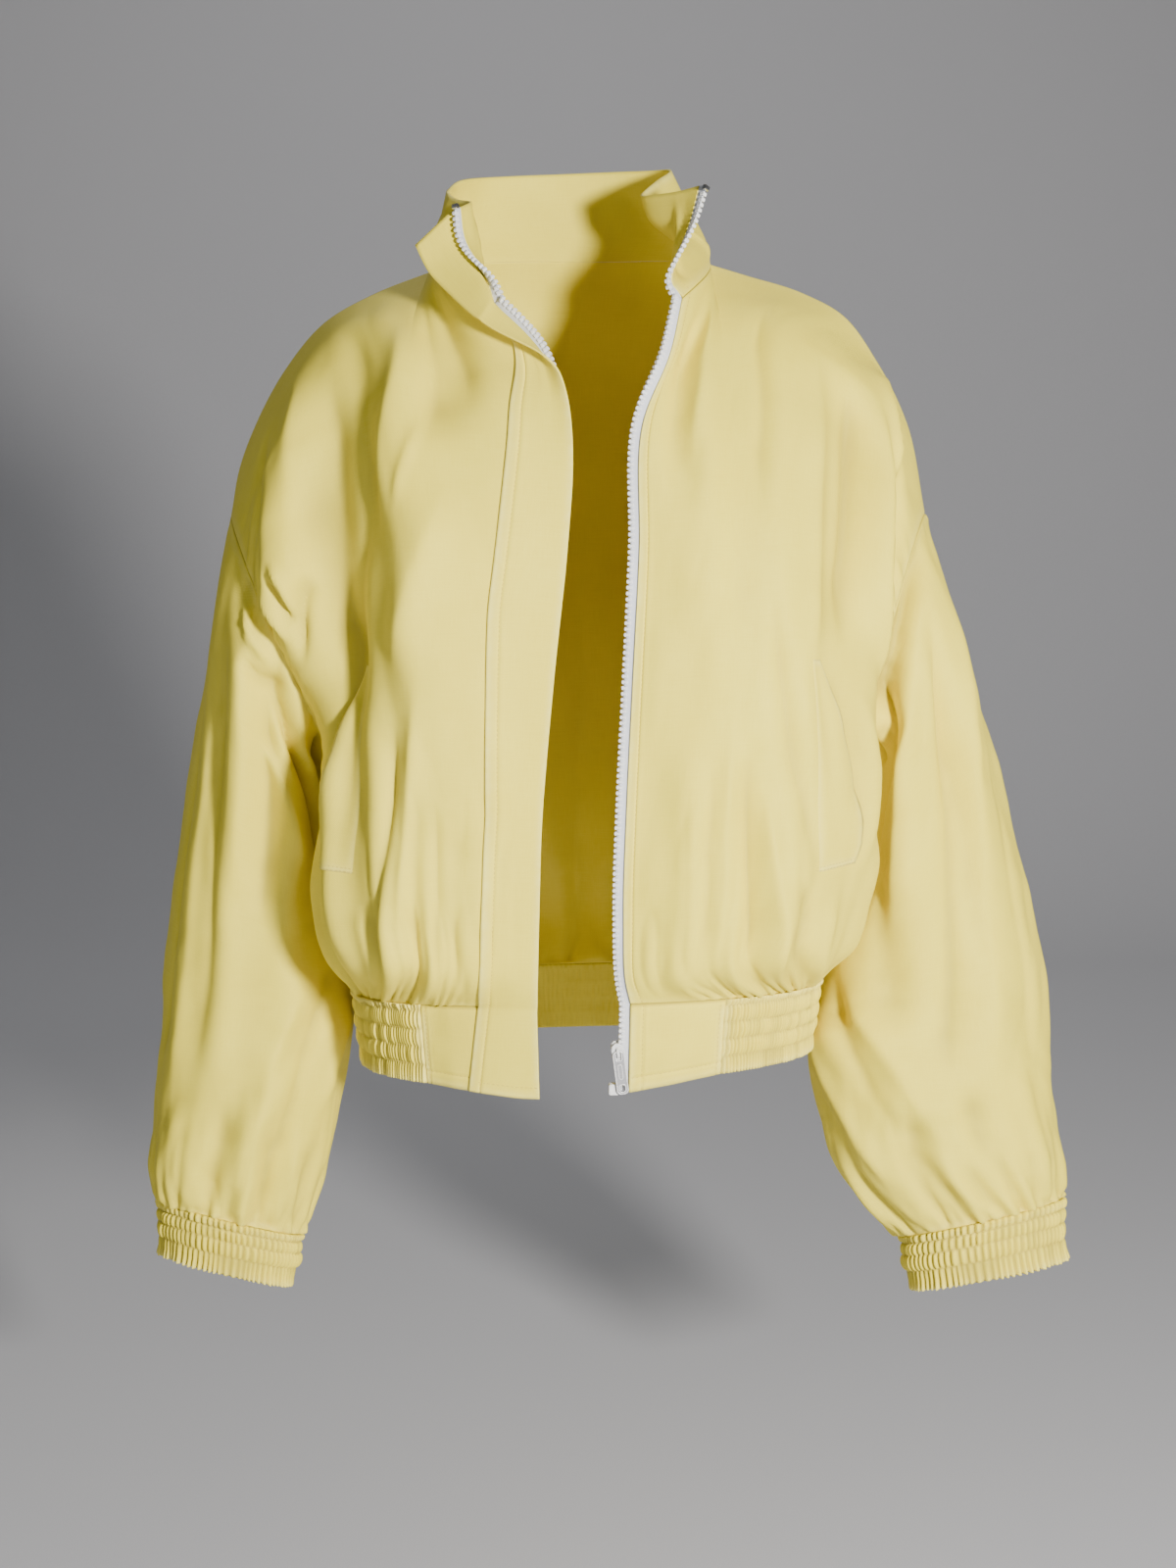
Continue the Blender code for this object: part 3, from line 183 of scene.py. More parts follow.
BACK_SECTIONS = [        # rows 1 to 7, left half: centre, blade, crease, lobe
    ((-8, 90, -26), (92, 58, -34), (160, 46, -46), (213, 38, -94)),
    ((-6, 108, -86), (92, 102, -92), (160, 82, -104), (214, 62, -142)),
    ((-4, 120, -178), (94, 124, -182), (156, 104, -192), (208, 84, -214)),
    ((-2, 124, -265), (94, 127, -268), (152, 104, -276), (194, 66, -286)),
    ((1, 127, -350), (94, 129, -350), (148, 106, -349), (186, 56, -346)),
    ((4, 130, -446), (92, 130, -446), (144, 108, -444), (180, 56, -440)),
    ((6, 126, -492), (90, 126, -492), (138, 104, -488), (172, 52, -482)),
]
# Drape folds of the solids: start (across, down), end, half width, height.
FRONT_FOLDS = {
    "left": [
        ((0.12, 0.00), (0.17, 0.34), 16, -7), ((0.34, 0.06), (0.36, 0.52), 20, -5),
        ((0.50, 0.08), (0.52, 0.66), 20, 5), ((0.68, 0.12), (0.66, 0.50), 17, -9),
        ((0.60, 0.46), (0.58, 0.96), 14, 5), ((0.44, 0.60), (0.40, 0.97), 18, -5),
        ((0.22, 0.62), (0.24, 0.97), 16, 4), ((0.76, 0.55), (0.72, 0.96), 14, -5),
    ],
    "right": [
        ((0.16, 0.02), (0.24, 0.26), 15, -7), ((0.34, 0.10), (0.38, 0.60), 20, 5),
        ((0.50, 0.06), (0.50, 0.40), 16, -5), ((0.70, 0.22), (0.64, 0.62), 17, -12),
        ((0.56, 0.50), (0.54, 0.97), 15, 5), ((0.40, 0.66), (0.42, 0.97), 16, -5),
        ((0.76, 0.60), (0.72, 0.96), 15, 6), ((0.22, 0.70), (0.26, 0.97), 15, -4),
    ],
}
BACK_FOLDS = [
    ((-0.66, 0.14), (-0.60, 0.62), 22, -9), ((-0.40, 0.20), (-0.36, 0.80), 26, 5),
    ((-0.16, 0.30), (-0.14, 0.97), 26, -5), ((0.10, 0.12), (0.12, 0.78), 28, 5),
    ((0.36, 0.34), (0.34, 0.97), 24, -5), ((0.64, 0.12), (0.60, 0.60), 22, -9),
    ((0.58, 0.60), (0.54, 0.97), 18, 5), ((-0.62, 0.62), (-0.56, 0.97), 18, 5),
    ((-0.80, 0.66), (-0.76, 0.97), 15, -4), ((0.80, 0.66), (0.77, 0.97), 15, -4),
]
GATHERS = {"left": 6, "right": 6, "back": 13}
GATHER_HIGH = 2.4
PANEL_SPAN = (0.25, 0.55)       # nominal size of a half panel on which its folds are drawn
SLEEVE_SPAN = (0.40, 0.52)

# Sleeve sections: outer x, z, inner x, z, centre y, half depth.
SLEEVE = {
    "left": [
        (248, -172, 203, -335, -2, 62), (261, -219, 217, -346, 2, 63), (281, -290, 215, -382, 8, 62),
        (301, -355, 208, -428, 13, 60), (321, -429, 194, -480, 16, 60), (336, -490, 182, -526, 17, 61),
        (346, -554, 171, -562, 15, 63), (353, -612, 180, -614, 12, 63), (359, -655, 201, -664, 7, 59),
        (360, -682, 245, -711, 2, 46),
    ],
    "right": [
        (-248, -173, -175, -340, -2, 62), (-259, -228, -188, -352, 2, 63),
        (-271, -297, -183, -390, 8, 62), (-282, -360, -181, -436, 13, 60),
        (-293, -430, -181, -482, 16, 60), (-302, -496, -169, -522, 17, 60),
        (-310, -562, -172, -564, 15, 61), (-315, -620, -183, -624, 12, 61),
        (-317, -660, -197, -670, 7, 57), (-311, -683, -211, -710, 2, 46),
    ],
}
SLEEVE_KNOTS = (0, 0.09, 0.20, 0.31, 0.44, 0.56, 0.69, 0.81, 0.92, 1.0)
SLEEVE_FOLDS = {
    "left": [
        ((0.20, 0.03), (0.17, 0.62), 13, -8), ((0.08, 0.04), (0.09, 0.74), 14, 5),
        ((0.33, 0.08), (0.30, 0.44), 14, 6), ((0.40, 0.30), (0.28, 0.66), 15, -6),
        ((0.44, 0.60), (0.30, 0.84), 16, 7), ((0.22, 0.74), (0.20, 0.99), 9, -5),
        ((0.14, 0.72), (0.13, 0.99), 9, 4), ((0.30, 0.80), (0.29, 0.99), 9, -5),
        ((0.70, 0.06), (0.72, 0.60), 18, -6), ((0.84, 0.20), (0.84, 0.85), 18, 5),
        ((0.60, 0.55), (0.70, 0.90), 16, -6), ((0.78, 0.74), (0.77, 0.99), 10, 4),
    ],
    "right": [
        ((0.12, 0.04), (0.13, 0.70), 14, -6), ((0.20, 0.06), (0.20, 0.80), 14, 6),
        ((0.28, 0.02), (0.28, 0.46), 12, -8), ((0.36, 0.10), (0.30, 0.60), 14, 6),
        ((0.44, 0.48), (0.30, 0.74), 15, -7), ((0.40, 0.60), (0.26, 0.84), 14, 6),
        ((0.24, 0.76), (0.23, 0.99), 9, -5), ((0.14, 0.76), (0.15, 0.99), 9, 4),
        ((0.72, 0.06), (0.70, 0.62), 18, -6), ((0.86, 0.20), (0.84, 0.85), 18, 5),
        ((0.60, 0.55), (0.68, 0.90), 16, -6), ((0.77, 0.74), (0.78, 0.99), 10, 4),
    ],
}
SLEEVE_GATHERS = 11
CUFF_PITCH = 0.30
CUFF = {                 # outer x, z, inner x, z, half depth
    "left": [(360, -682, 245, -711, 46), (361, -705, 247, -731, 45), (362, -729, 253, -752, 44)],
    "right": [(-311, -683, -211, -710, 46), (-312, -703, -213, -729, 44), (-310, -724, -219, -749, 43)],
}
# Collar stations: place along the neckline, then low, high and top points.
COLLAR = [
    (0.000, (-61, -78, -10), (-76, -61, 15), (-80, -53, 38)),
    (0.075, (-68, -60, -7), (-70, -45, 18), (-74, -36, 43)),
    (0.150, (-84, -46, 2), (-82, -24, 24), (-84, -18, 46)),
    (0.230, (-97, -24, 8), (-95, -8, 28), (-91, 0, 52)),
    (0.300, (-98, 8, 20), (-95, 14, 40), (-91, 18, 56)),
    (0.380, (-99, 44, 24), (-91, 46, 45), (-82, 44, 64)),
    (0.450, (-62, 71, 29), (-60, 74, 49), (-57, 75, 69)),
    (0.510, (-8, 81, 31), (-7, 86, 52), (-6, 88, 72)),
    (0.590, (52, 70, 30), (49, 74, 52), (46, 75, 73)),
    (0.680, (86, 36, 25), (76, 44, 50), (66, 47, 71)),
    (0.760, (88, 10, 18), (66, 8, 40), (54, 16, 60)),
    (0.840, (80, -16, 12), (52, -16, 30), (45, -10, 49)),
    (0.910, (71, -44, 2), (67, -42, 27), (64, -34, 49)),
    (1.000, (63, -71, -9), (76, -60, 26), (83, -53, 52)),
]
# Storm flap: place, root inside the edge, then its free edge from the front edge: outward, x, y, z.
FLAP = [
    (0.00, 8, 0, -28, -8, -25), (0.25, 8, 0, -23, -9, -22), (0.50, 8, 0, -20, -9, -17),
    (0.75, 8, 0, -15, -11, -16), (0.95, 8, 0, -10, -12, -14), (1.02, 9, 1, -8, -12, -11),
    (1.06, 12, 3, -6, -12, -8), (1.10, 17, 6, -2, -11, -4), (1.14, 22, 10, 0, -7, -1),
    (1.20, 28, 13, 0, -2, 0),
    (1.30, 32, 14, 0, 0, 0), (1.45, 36, 13, 0, 0, 0), (1.70, 26, 12, 0, 0, 0), (2.00, 29, 12, 0, 0, 0),
    (3.00, 38, 12, 0, 0, 0),
]

# Finer creases laid over the folds: path (across, down), half widths to its two sides, height, mm.
FRONT_CREASES = {
    "right": [
        (((0.61, 0.12), (0.61, 0.24), (0.63, 0.36), (0.65, 0.48), (0.67, 0.60)), 12, 18, -10),
        (((0.825, 0.365), (0.79, 0.413), (0.77, 0.46)), 4, 6, -6),
        (((0.70, 0.39), (0.742, 0.44), (0.79, 0.505)), 4, 5, -7),
        (((0.79, 0.36), (0.76, 0.41), (0.765, 0.455)), 4, 4, 5),
        (((0.90, 0.34), (0.85, 0.41), (0.80, 0.47)), 5, 4, 5),
        (((0.70, 0.02), (0.73, 0.30), (0.73, 0.48)), 12, 10, 5),
        (((0.33, 0.08), (0.34, 0.17), (0.42, 0.28), (0.44, 0.38)), 13, 9, 5),
        (((0.25, 0.03), (0.25, 0.16), (0.28, 0.28)), 10, 9, -5),
        (((0.17, 0.00), (0.18, 0.10), (0.17, 0.22)), 9, 10, -5),
        (((0.29, 0.24), (0.38, 0.34)), 4, 3, 2.2),
        (((0.22, 0.30), (0.33, 0.42), (0.46, 0.54)), 16, 14, 5),
        (((0.52, 0.32), (0.60, 0.43), (0.64, 0.56)), 9, 8, -4),
        (((0.45, 0.58), (0.52, 0.75), (0.60, 0.96)), 6, 11, -6),
        (((0.34, 0.52), (0.43, 0.73), (0.50, 0.95)), 13, 8, 5),
        (((0.30, 0.68), (0.32, 0.95)), 8, 9, -3.5), (((0.71, 0.60), (0.70, 0.82), (0.67, 0.97)), 8, 8, 6),
        (((0.77, 0.64), (0.75, 0.97)), 7, 9, -6), (((0.86, 0.60), (0.85, 0.94)), 9, 9, 5),
        (((0.84, 0.10), (0.86, 0.34)), 7, 9, -4), (((0.63, 0.84), (0.62, 0.99)), 4, 5, 4),
        (((0.40, 0.84), (0.41, 0.99)), 4, 5, -3),
        (((0.635, 0.52), (0.68, 0.58), (0.718, 0.65), (0.764, 0.75), (0.756, 0.81)), 2.5, 8, -3),
    ],
    "left": [
        (((0.45, 0.05), (0.46, 0.20), (0.44, 0.36)), 11, 9, -6),
        (((0.08, 0.05), (0.11, 0.16), (0.13, 0.30)), 10, 12, -4),
        (((0.17, 0.02), (0.21, 0.16), (0.18, 0.30)), 13, 12, 4.5),
        (((0.64, 0.06), (0.63, 0.30), (0.63, 0.42), (0.60, 0.54)), 12, 6, 8.5),
        (((0.46, 0.40), (0.52, 0.55), (0.60, 0.70), (0.64, 0.82)), 12, 7, -6),
        (((0.74, 0.54), (0.81, 0.69), (0.76, 0.84)), 6, 9, 6), (((0.68, 0.58), (0.75, 0.74)), 7, 5, -5),
        (((0.71, 0.12), (0.72, 0.26), (0.72, 0.38), (0.70, 0.52)), 6, 12, -13),
        (((0.70, 0.00), (0.82, 0.10), (0.88, 0.20)), 7, 5, 6),
        (((0.78, 0.08), (0.80, 0.26), (0.83, 0.42), (0.90, 0.54)), 14, 5, 9),
        (((0.40, 0.60), (0.43, 0.80), (0.50, 0.97)), 8, 9, -5),
        (((0.47, 0.66), (0.53, 0.83), (0.60, 0.98)), 7, 7, 5),
        (((0.60, 0.80), (0.64, 0.89), (0.68, 0.99)), 5, 5, -5),
        (((0.87, 0.74), (0.85, 0.88), (0.81, 0.97)), 9, 9, 6),
        (((0.28, 0.62), (0.26, 0.96)), 8, 10, -3.5), (((0.34, 0.56), (0.33, 0.96)), 9, 8, 3.5),
        (((0.70, 0.84), (0.72, 0.99)), 5, 5, 4), (((0.88, 0.12), (0.90, 0.28), (0.93, 0.44)), 5, 10, -13),
        (((0.635, 0.52), (0.68, 0.58), (0.718, 0.65), (0.764, 0.75), (0.756, 0.81)), 2.5, 8, -3.5),
    ],
}
BACK_CREASES = [
    (((-0.74, 0.18), (-0.71, 0.40), (-0.66, 0.62)), 6, 14, -8), (((-0.84, 0.12), (-0.78, 0.52)), 9, 7, 5),
    (((0.74, 0.16), (0.70, 0.40), (0.66, 0.64)), 14, 6, -8), (((0.85, 0.14), (0.78, 0.50)), 7, 9, 5),
    (((-0.32, 0.36), (-0.28, 0.70), (-0.24, 0.98)), 9, 15, -5),
    (((0.03, 0.44), (-0.01, 0.74), (-0.04, 0.98)), 10, 13, 5),
    (((0.24, 0.42), (0.25, 0.72), (0.22, 0.98)), 8, 14, -5), (((0.48, 0.50), (0.45, 0.98)), 8, 12, 5),
    (((-0.50, 0.56), (-0.47, 0.98)), 8, 11, 5), (((0.70, 0.60), (0.68, 0.98)), 6, 9, -5),
    (((-0.12, 0.10), (-0.16, 0.44)), 22, 18, -2.5), (((0.14, 0.10), (0.20, 0.44)), 20, 20, 2.5),
    (((-0.70, 0.66), (-0.67, 0.98)), 8, 7, -5),
]
SLEEVE_CREASES = {
    "left": [
        (((0.06, 0.07), (0.15, 0.29), (0.17, 0.57), (0.19, 0.82)), 13, 14, 7),
        (((0.15, 0.02), (0.22, 0.27), (0.235, 0.56), (0.24, 0.80)), 10, 9, -7),
        (((0.05, 0.14), (0.09, 0.44), (0.11, 0.80)), 12, 12, -5),
        (((0.24, 0.00), (0.34, 0.05), (0.44, 0.22), (0.41, 0.48)), 7, 12, -11),
        (((0.07, 0.022), (0.18, 0.024), (0.28, 0.036), (0.41, 0.084)), 9, 15, -14),
        (((0.29, 0.02), (0.34, 0.24), (0.33, 0.48)), 12, 10, 6),
        (((0.47, 0.48), (0.37, 0.68), (0.31, 0.86)), 9, 12, -7),
        (((0.42, 0.52), (0.31, 0.70), (0.26, 0.88)), 10, 8, 6),
        (((0.50, 0.60), (0.40, 0.80), (0.36, 0.95)), 9, 7, 5), (((0.35, 0.02), (0.40, 0.14)), 6, 6, 5),
        (((0.42, 0.02), (0.46, 0.13)), 5, 6, -5), (((0.98, 0.10), (1.00, 0.50), (1.01, 0.80)), 12, 12, 5),
        (((0.90, 0.16), (0.91, 0.52), (0.92, 0.84)), 10, 13, -6),
        (((0.56, 0.46), (0.64, 0.66), (0.70, 0.84)), 8, 12, -6), (((0.52, 0.54), (0.60, 0.76)), 9, 7, 5),
        (((0.62, 0.02), (0.60, 0.18)), 6, 7, -5), (((0.70, 0.02), (0.71, 0.34)), 9, 9, 5),
    ],
    "right": [
        (((0.20, 0.01), (0.23, 0.19), (0.22, 0.44)), 12, 10, 7),
        (((0.155, 0.05), (0.18, 0.40), (0.17, 0.76)), 10, 10, -6),
        (((0.24, 0.05), (0.35, 0.10), (0.40, 0.19), (0.435, 0.34)), 7, 11, -12),
        (((0.17, 0.02), (0.21, 0.045), (0.26, 0.03)), 5, 5, 6),
        (((0.20, 0.085), (0.25, 0.075), (0.30, 0.02)), 5, 5, -6),
        (((0.25, 0.15), (0.31, 0.20), (0.36, 0.32)), 9, 9, 6),
        (((0.34, 0.00), (0.42, 0.16), (0.50, 0.38)), 8, 7, 9), (((0.39, 0.00), (0.47, 0.15)), 5, 6, -8),
        (((0.44, 0.00), (0.50, 0.12)), 5, 5, 7), (((0.34, 0.50), (0.29, 0.72), (0.28, 0.92)), 12, 9, 6),
        (((0.40, 0.54), (0.34, 0.74), (0.33, 0.94)), 9, 9, -6),
        (((0.11, 0.08), (0.12, 0.44), (0.12, 0.84)), 12, 11, 5), (((0.46, 0.56), (0.40, 0.80)), 8, 9, 5),
        (((0.05, 0.12), (0.05, 0.50), (0.06, 0.80)), 10, 12, -5),
        (((0.97, 0.10), (0.98, 0.74)), 11, 12, 5),
        (((0.90, 0.20), (0.91, 0.54), (0.92, 0.86)), 10, 12, -6),
        (((0.56, 0.46), (0.63, 0.66), (0.69, 0.84)), 8, 12, -6), (((0.53, 0.54), (0.60, 0.78)), 9, 7, 5),
        (((0.62, 0.02), (0.60, 0.18)), 6, 7, -5), (((0.72, 0.02), (0.72, 0.36)), 9, 9, 5),
    ],
}
COLLAR_CREASES = [
    (((0.05, 0.10), (0.09, 0.95)), 4, 8, -2), (((0.24, 0.05), (0.20, 0.90)), 4, 8, 2.5),
    (((0.36, 0.10), (0.42, 0.90)), 6, 10, -2), (((0.60, 0.10), (0.56, 0.90)), 6, 10, 2),
    (((0.76, 0.05), (0.80, 0.95)), 4, 8, 2.5), (((0.95, 0.05), (0.92, 0.95)), 4, 8, -2),
]

# ---------------------------------------------------------------- curves and grids
def spline(knots, values, at):
    """Cubic through the values at the knots, with centred slopes; the first axis is interpolated."""
    knots, values, at = np.asarray(knots, float), np.asarray(values, float), np.asarray(at, float)
    shape = (-1,) + (1,) * (values.ndim - 1)
    span = np.diff(knots).reshape(shape)
    slope = np.diff(values, axis=0) / span
    tangent = np.concatenate([slope[:1], slope, slope[-1:]])
    before, after = np.concatenate([span[:1], span]), np.concatenate([span, span[-1:]])
    tangent = (tangent[:-1] * after + tangent[1:] * before) / (before + after)
    index = np.clip(np.searchsorted(knots, at, side="right") - 1, 0, len(knots) - 2)
    width = np.diff(knots)[index].reshape(shape)
    t = (at - knots[index]).reshape(shape) / width
    low, high = values[index], values[index + 1]
    return ((2 * t**3 - 3 * t**2 + 1) * low + (3 * t**2 - 2 * t**3) * high
            + ((t**3 - 2 * t**2 + t) * tangent[index] + (t**3 - t**2) * tangent[index + 1]) * width)


def curve(points, at):
    """A smooth curve through points in mm, spaced by their distance, at fractions of its length."""
    points = np.asarray(points, float) * MM
    step = np.linalg.norm(np.diff(points, axis=0), axis=1)
    knots = np.concatenate([[0], np.cumsum(step)]) / step.sum()
    return spline(knots, points, at)


def unit(vectors):
    return vectors / np.maximum(np.linalg.norm(vectors, axis=-1, keepdims=True), 1e-12)


def ease(x):
    """Smooth step from 0 to 1: 3x^2 - 2x^3."""
    x = np.clip(x, 0.0, 1.0)
    return x * x * (3 - 2 * x)


def bell(x):
    return np.exp(-x * x)


def drift(x, y, cell, seed):
    """Smooth noise from -1 to 1: seeded random values on a square lattice, eased between its points."""
    values = np.random.default_rng(seed).uniform(-1, 1, (64, 64))
    x, y = np.broadcast_arrays(np.asarray(x) / cell + 20, np.asarray(y) / cell + 20)
    i, j = np.floor(x).astype(int), np.floor(y).astype(int)
    a, b = ease(x - i), ease(y - j)
    low = values[i % 64, j % 64] * (1 - a) + values[(i + 1) % 64, j % 64] * a
    high = values[i % 64, (j + 1) % 64] * (1 - a) + values[(i + 1) % 64, (j + 1) % 64] * a
    return low * (1 - b) + high * b


def smoothed(values, times=3):
    """Repeated three-point mean along the first axis, ends held."""
    for _ in range(times):
        values = np.concatenate([values[:1], (values[:-2] + 2 * values[1:-1] + values[2:]) / 4, values[-1:]])
    return values


def armhole(side, turn):
    """The armhole seam, a leaning ellipse: turn 0 the shoulder, .25 front, .5 underarm, .75 back."""
    hole = ARMHOLE[side]
    top, under = np.array(hole["top"]) * MM, np.array(hole["under"]) * MM
    angle = 2 * math.pi * np.asarray(turn)[..., None]
    front = np.sin(angle) > 0
    lean = np.where(front, hole["lean"][0], hole["lean"][1]) * MM
    reach = np.where(front, hole["front"], hole["back"]) * MM
    across = np.sin(angle)
    sideways = np.concatenate([lean * np.abs(across), -reach * across, 0 * across], axis=-1)
    return (top + under) / 2 + np.cos(angle) * (top - under) / 2 + sideways


def waist_rise(x, y):
    return WAIST_SLOPE[0] * x + WAIST_SLOPE[1] * y


def waist(angle, drop=0.0, out=0.0):
    """The waistband's rounded oval: angle 0 at the front centre, growing to the wearer's left."""
    angle, drop = np.broadcast_arrays(np.asarray(angle, float), np.asarray(drop, float))
    wide, front, back = BAND_HALF
    sine, cosine = np.sin(angle), np.cos(angle)
    deep = np.where(cosine > 0, front, back)
    shrink = BAND_TAPER * drop / BAND_HEIGHT
    x = BAND_CENTRE[0] + (wide - shrink + out) * np.sign(sine) * np.abs(sine) ** (2 / BAND_POWER)
    y = BAND_CENTRE[1] - (deep - shrink + out) * np.sign(cosine) * np.abs(cosine) ** (2 / BAND_POWER)
    taller = np.where(y < BAND_CENTRE[1], np.interp(x, *np.transpose(BAND_TALLER)), 1)
    taller = 1 + (taller - 1) * ease((BAND_CENTRE[1] - y) / 0.05)
    return np.stack([x, y, WAIST_Z + waist_rise(x, y) - drop * taller], axis=-1)


def waist_angle(x):
    """The angle at which the waistband oval passes this x on its front."""
    part = (x - BAND_CENTRE[0]) / BAND_HALF[0]
    return math.asin(math.copysign(min(abs(part), 1) ** (BAND_POWER / 2), part))


EDGE_ANGLE = {side: waist_angle(x) for side, x in FRONT_X.items()}


def fold_heights(folds, across, down, width, height):
    """Sum of soft ridges and troughs: a bell across each fold's line, tapering to nothing at its ends."""
    total = np.zeros(np.broadcast(across, down).shape)
    for start, end, half, high in folds:
        a, b = np.array(start) * (width, height), np.array(end) * (width, height)
        run = (b - a) / np.dot(b - a, b - a)
        dx, dy = across * width - a[0], down * height - a[1]
        along = dx * run[0] + dy * run[1]
        near = np.clip(along, 0, 1)
        away = np.hypot(dx - near * (b - a)[0], dy - near * (b - a)[1])
        taper = ease(0.15 + near / 0.3) * ease(0.15 + (1 - near) / 0.3)
        total += high * MM * taper * bell(away / (half * MM))
    return total


def grid_normals(grid, closed=False):
    """Unit normals of a grid of points; a closed grid joins its last column to its first."""
    if closed:
        along = np.roll(grid, -1, axis=1) - np.roll(grid, 1, axis=1)
    else:
        along = np.gradient(grid, axis=1)
    return unit(np.cross(along, np.gradient(grid, axis=0)))


def spaced(low, high, cells, close_low=False, close_high=False):
    """Even steps from low to high, with two closer ones at an end where a seam is to look sharp."""
    steps = np.linspace(0, 1, cells + 1)
    extra = np.array([0.22, 0.55]) / cells
    added = ([extra] if close_low else []) + ([1 - extra] if close_high else [])
    return low + (high - low) * np.sort(np.concatenate([steps] + added))


def panel_rows():
    return np.concatenate([spaced(0, UNDERARM, ARM_CELLS, True, True),
                           spaced(UNDERARM, 1, SIDE_CELLS, True, True)[1:]])


def panel_columns(half):
    neck_cells = NECK_CELLS if half == "front" else BACK_NECK_CELLS
    found = np.concatenate([spaced(0, ACROSS[1], neck_cells, half == "front", True),
                            spaced(ACROSS[1], 1, SHOULDER_CELLS, True, True)[1:]])
    if half == "front":
        near = np.abs(found - STITCH_COLUMN) > 0.0065
        found = np.sort(np.concatenate([found[near], STITCH_COLUMN + np.array([-5, -2, 0, 2, 5]) * MM]))
    return found


def arm_turns():
    """Turns round the armhole at which the panels' rows meet it: front half, then back half."""
    half = spaced(0, UNDERARM, ARM_CELLS, True, True) / UNDERARM / 2
    return np.concatenate([half, 1 - half[-2:0:-1]])


def side_line(side, half, down):
    """Side edge of a panel: its half of the armhole, then the side seam to the waist."""
    turn = np.clip(down / UNDERARM, 0, 1) / 2
    arm = armhole(side, turn if half == "front" else 1 - turn)
    foot = waist(math.copysign(math.pi / 2, SIDE[side][0][0]))
    seam = curve(SIDE[side] + [tuple(foot / MM)], np.clip((down - UNDERARM) / (1 - UNDERARM), 0, 1))
    return np.where((down <= UNDERARM)[:, None], arm, seam)


def top_line(side, half, across):
    """Top edge of a panel: its neckline up to the side neck point, then the shoulder seam."""
    neck = (NECK_FRONT if half == "front" else NECK_BACK)[side]
    on_neck = curve(neck, np.clip(across / ACROSS[1], 0, 1))
    on_shoulder = curve(SHOULDER[side], np.clip((across - ACROSS[1]) / (1 - ACROSS[1]), 0, 1))
    return np.where((across <= ACROSS[1])[:, None], on_neck, on_shoulder)


def waist_line(side, half, across):
    """Bottom edge of a panel on the waistband oval, from the front edge or centre back to the side."""
    start = EDGE_ANGLE[side] if half == "front" else math.copysign(math.pi, SIDE[side][0][0])
    return waist(start + across * (math.copysign(math.pi / 2, SIDE[side][0][0]) - start))


def section_table(side, half):
    """Control points of half a body, from the top edge to the waist, five to a section."""
    knots, ends = np.array(ACROSS), side_line(side, half, np.array(DOWN))
    sections = np.array(FRONT_SECTIONS[side] if half == "front" else BACK_SECTIONS, float) * MM
    if half == "back" and side == "right":
        centre = sections[:, :1, 0]
        twin = side_line("left", half, np.array(DOWN))[1:-1, 0][:, None]
        sections[..., 0] = centre + (sections[..., 0] - centre) * (ends[1:-1, :1] - centre) / (twin - centre)
    rows = [top_line(side, half, knots)]
    rows += [np.concatenate([row, end[None]]) for row, end in zip(sections, ends[1:-1])]
    return np.stack(rows + [waist_line(side, half, knots)])


def crease_heights(creases, across, down, span):
    """Sum of creases: a soft crest along each path, wider on one side than the other, fading at its ends.

    It falls as exp(-(distance / half width)^1.5), the distance being to the nearest point of the
    path's short straight pieces.
    """
    x, y = np.broadcast_arrays(across * span[0], down * span[1])
    total = np.zeros(x.shape)
    steps = np.linspace(0, 1, 13)
    for points, half_a, half_b, high in creases:
        path = spline(np.linspace(0, 1, len(points)), np.array(points) * span, steps)
        best, beside, place = np.full(x.shape, 9.0), np.zeros(x.shape), np.zeros(x.shape)
        for k, (start, run) in enumerate(zip(path[:-1], np.diff(path, axis=0))):
            dx, dy = x - start[0], y - start[1]
            part = np.clip((dx * run[0] + dy * run[1]) / (run @ run), 0, 1)
            apart = np.hypot(dx - part * run[0], dy - part * run[1])
            nearer = apart < best
            best = np.where(nearer, apart, best)
            beside = np.where(nearer, (run[0] * dy - run[1] * dx) / math.sqrt(run @ run), beside)
            place = np.where(nearer, (k + part) / (len(steps) - 1), place)
        half = np.where(beside > 0, half_a, half_b) * MM
        fade = ease(place / 0.3) * ease((1 - place) / 0.3)
        total += CREASE_HIGH * high * MM * fade * np.exp(-(best / half) ** 1.5)
    return total


def pleats(place, away, count, pitch, high, reach, seed, ring=None):
    """Small pleats let into a seam: bells that start at it, lean, widen and fade with distance from it."""
    rng = np.random.default_rng(seed)
    total = np.zeros(np.broadcast(place, away).shape)
    for k in range(count):
        centre = (k + rng.uniform(-0.3, 0.3)) * pitch
        strength = high * rng.uniform(0.25, 1.3) * rng.choice([-0.7, 1])
        length = reach * rng.uniform(0.25, 1.7)
        lean, slim = rng.uniform(-0.32, 0.32), pitch * rng.uniform(0.22, 0.42)
        offset = place - centre - lean * away
        if ring:
            offset = (offset + ring / 2) % ring - ring / 2
        total += strength * bell(offset / (slim + 0.07 * away)) * np.exp(-away / length)
    return total


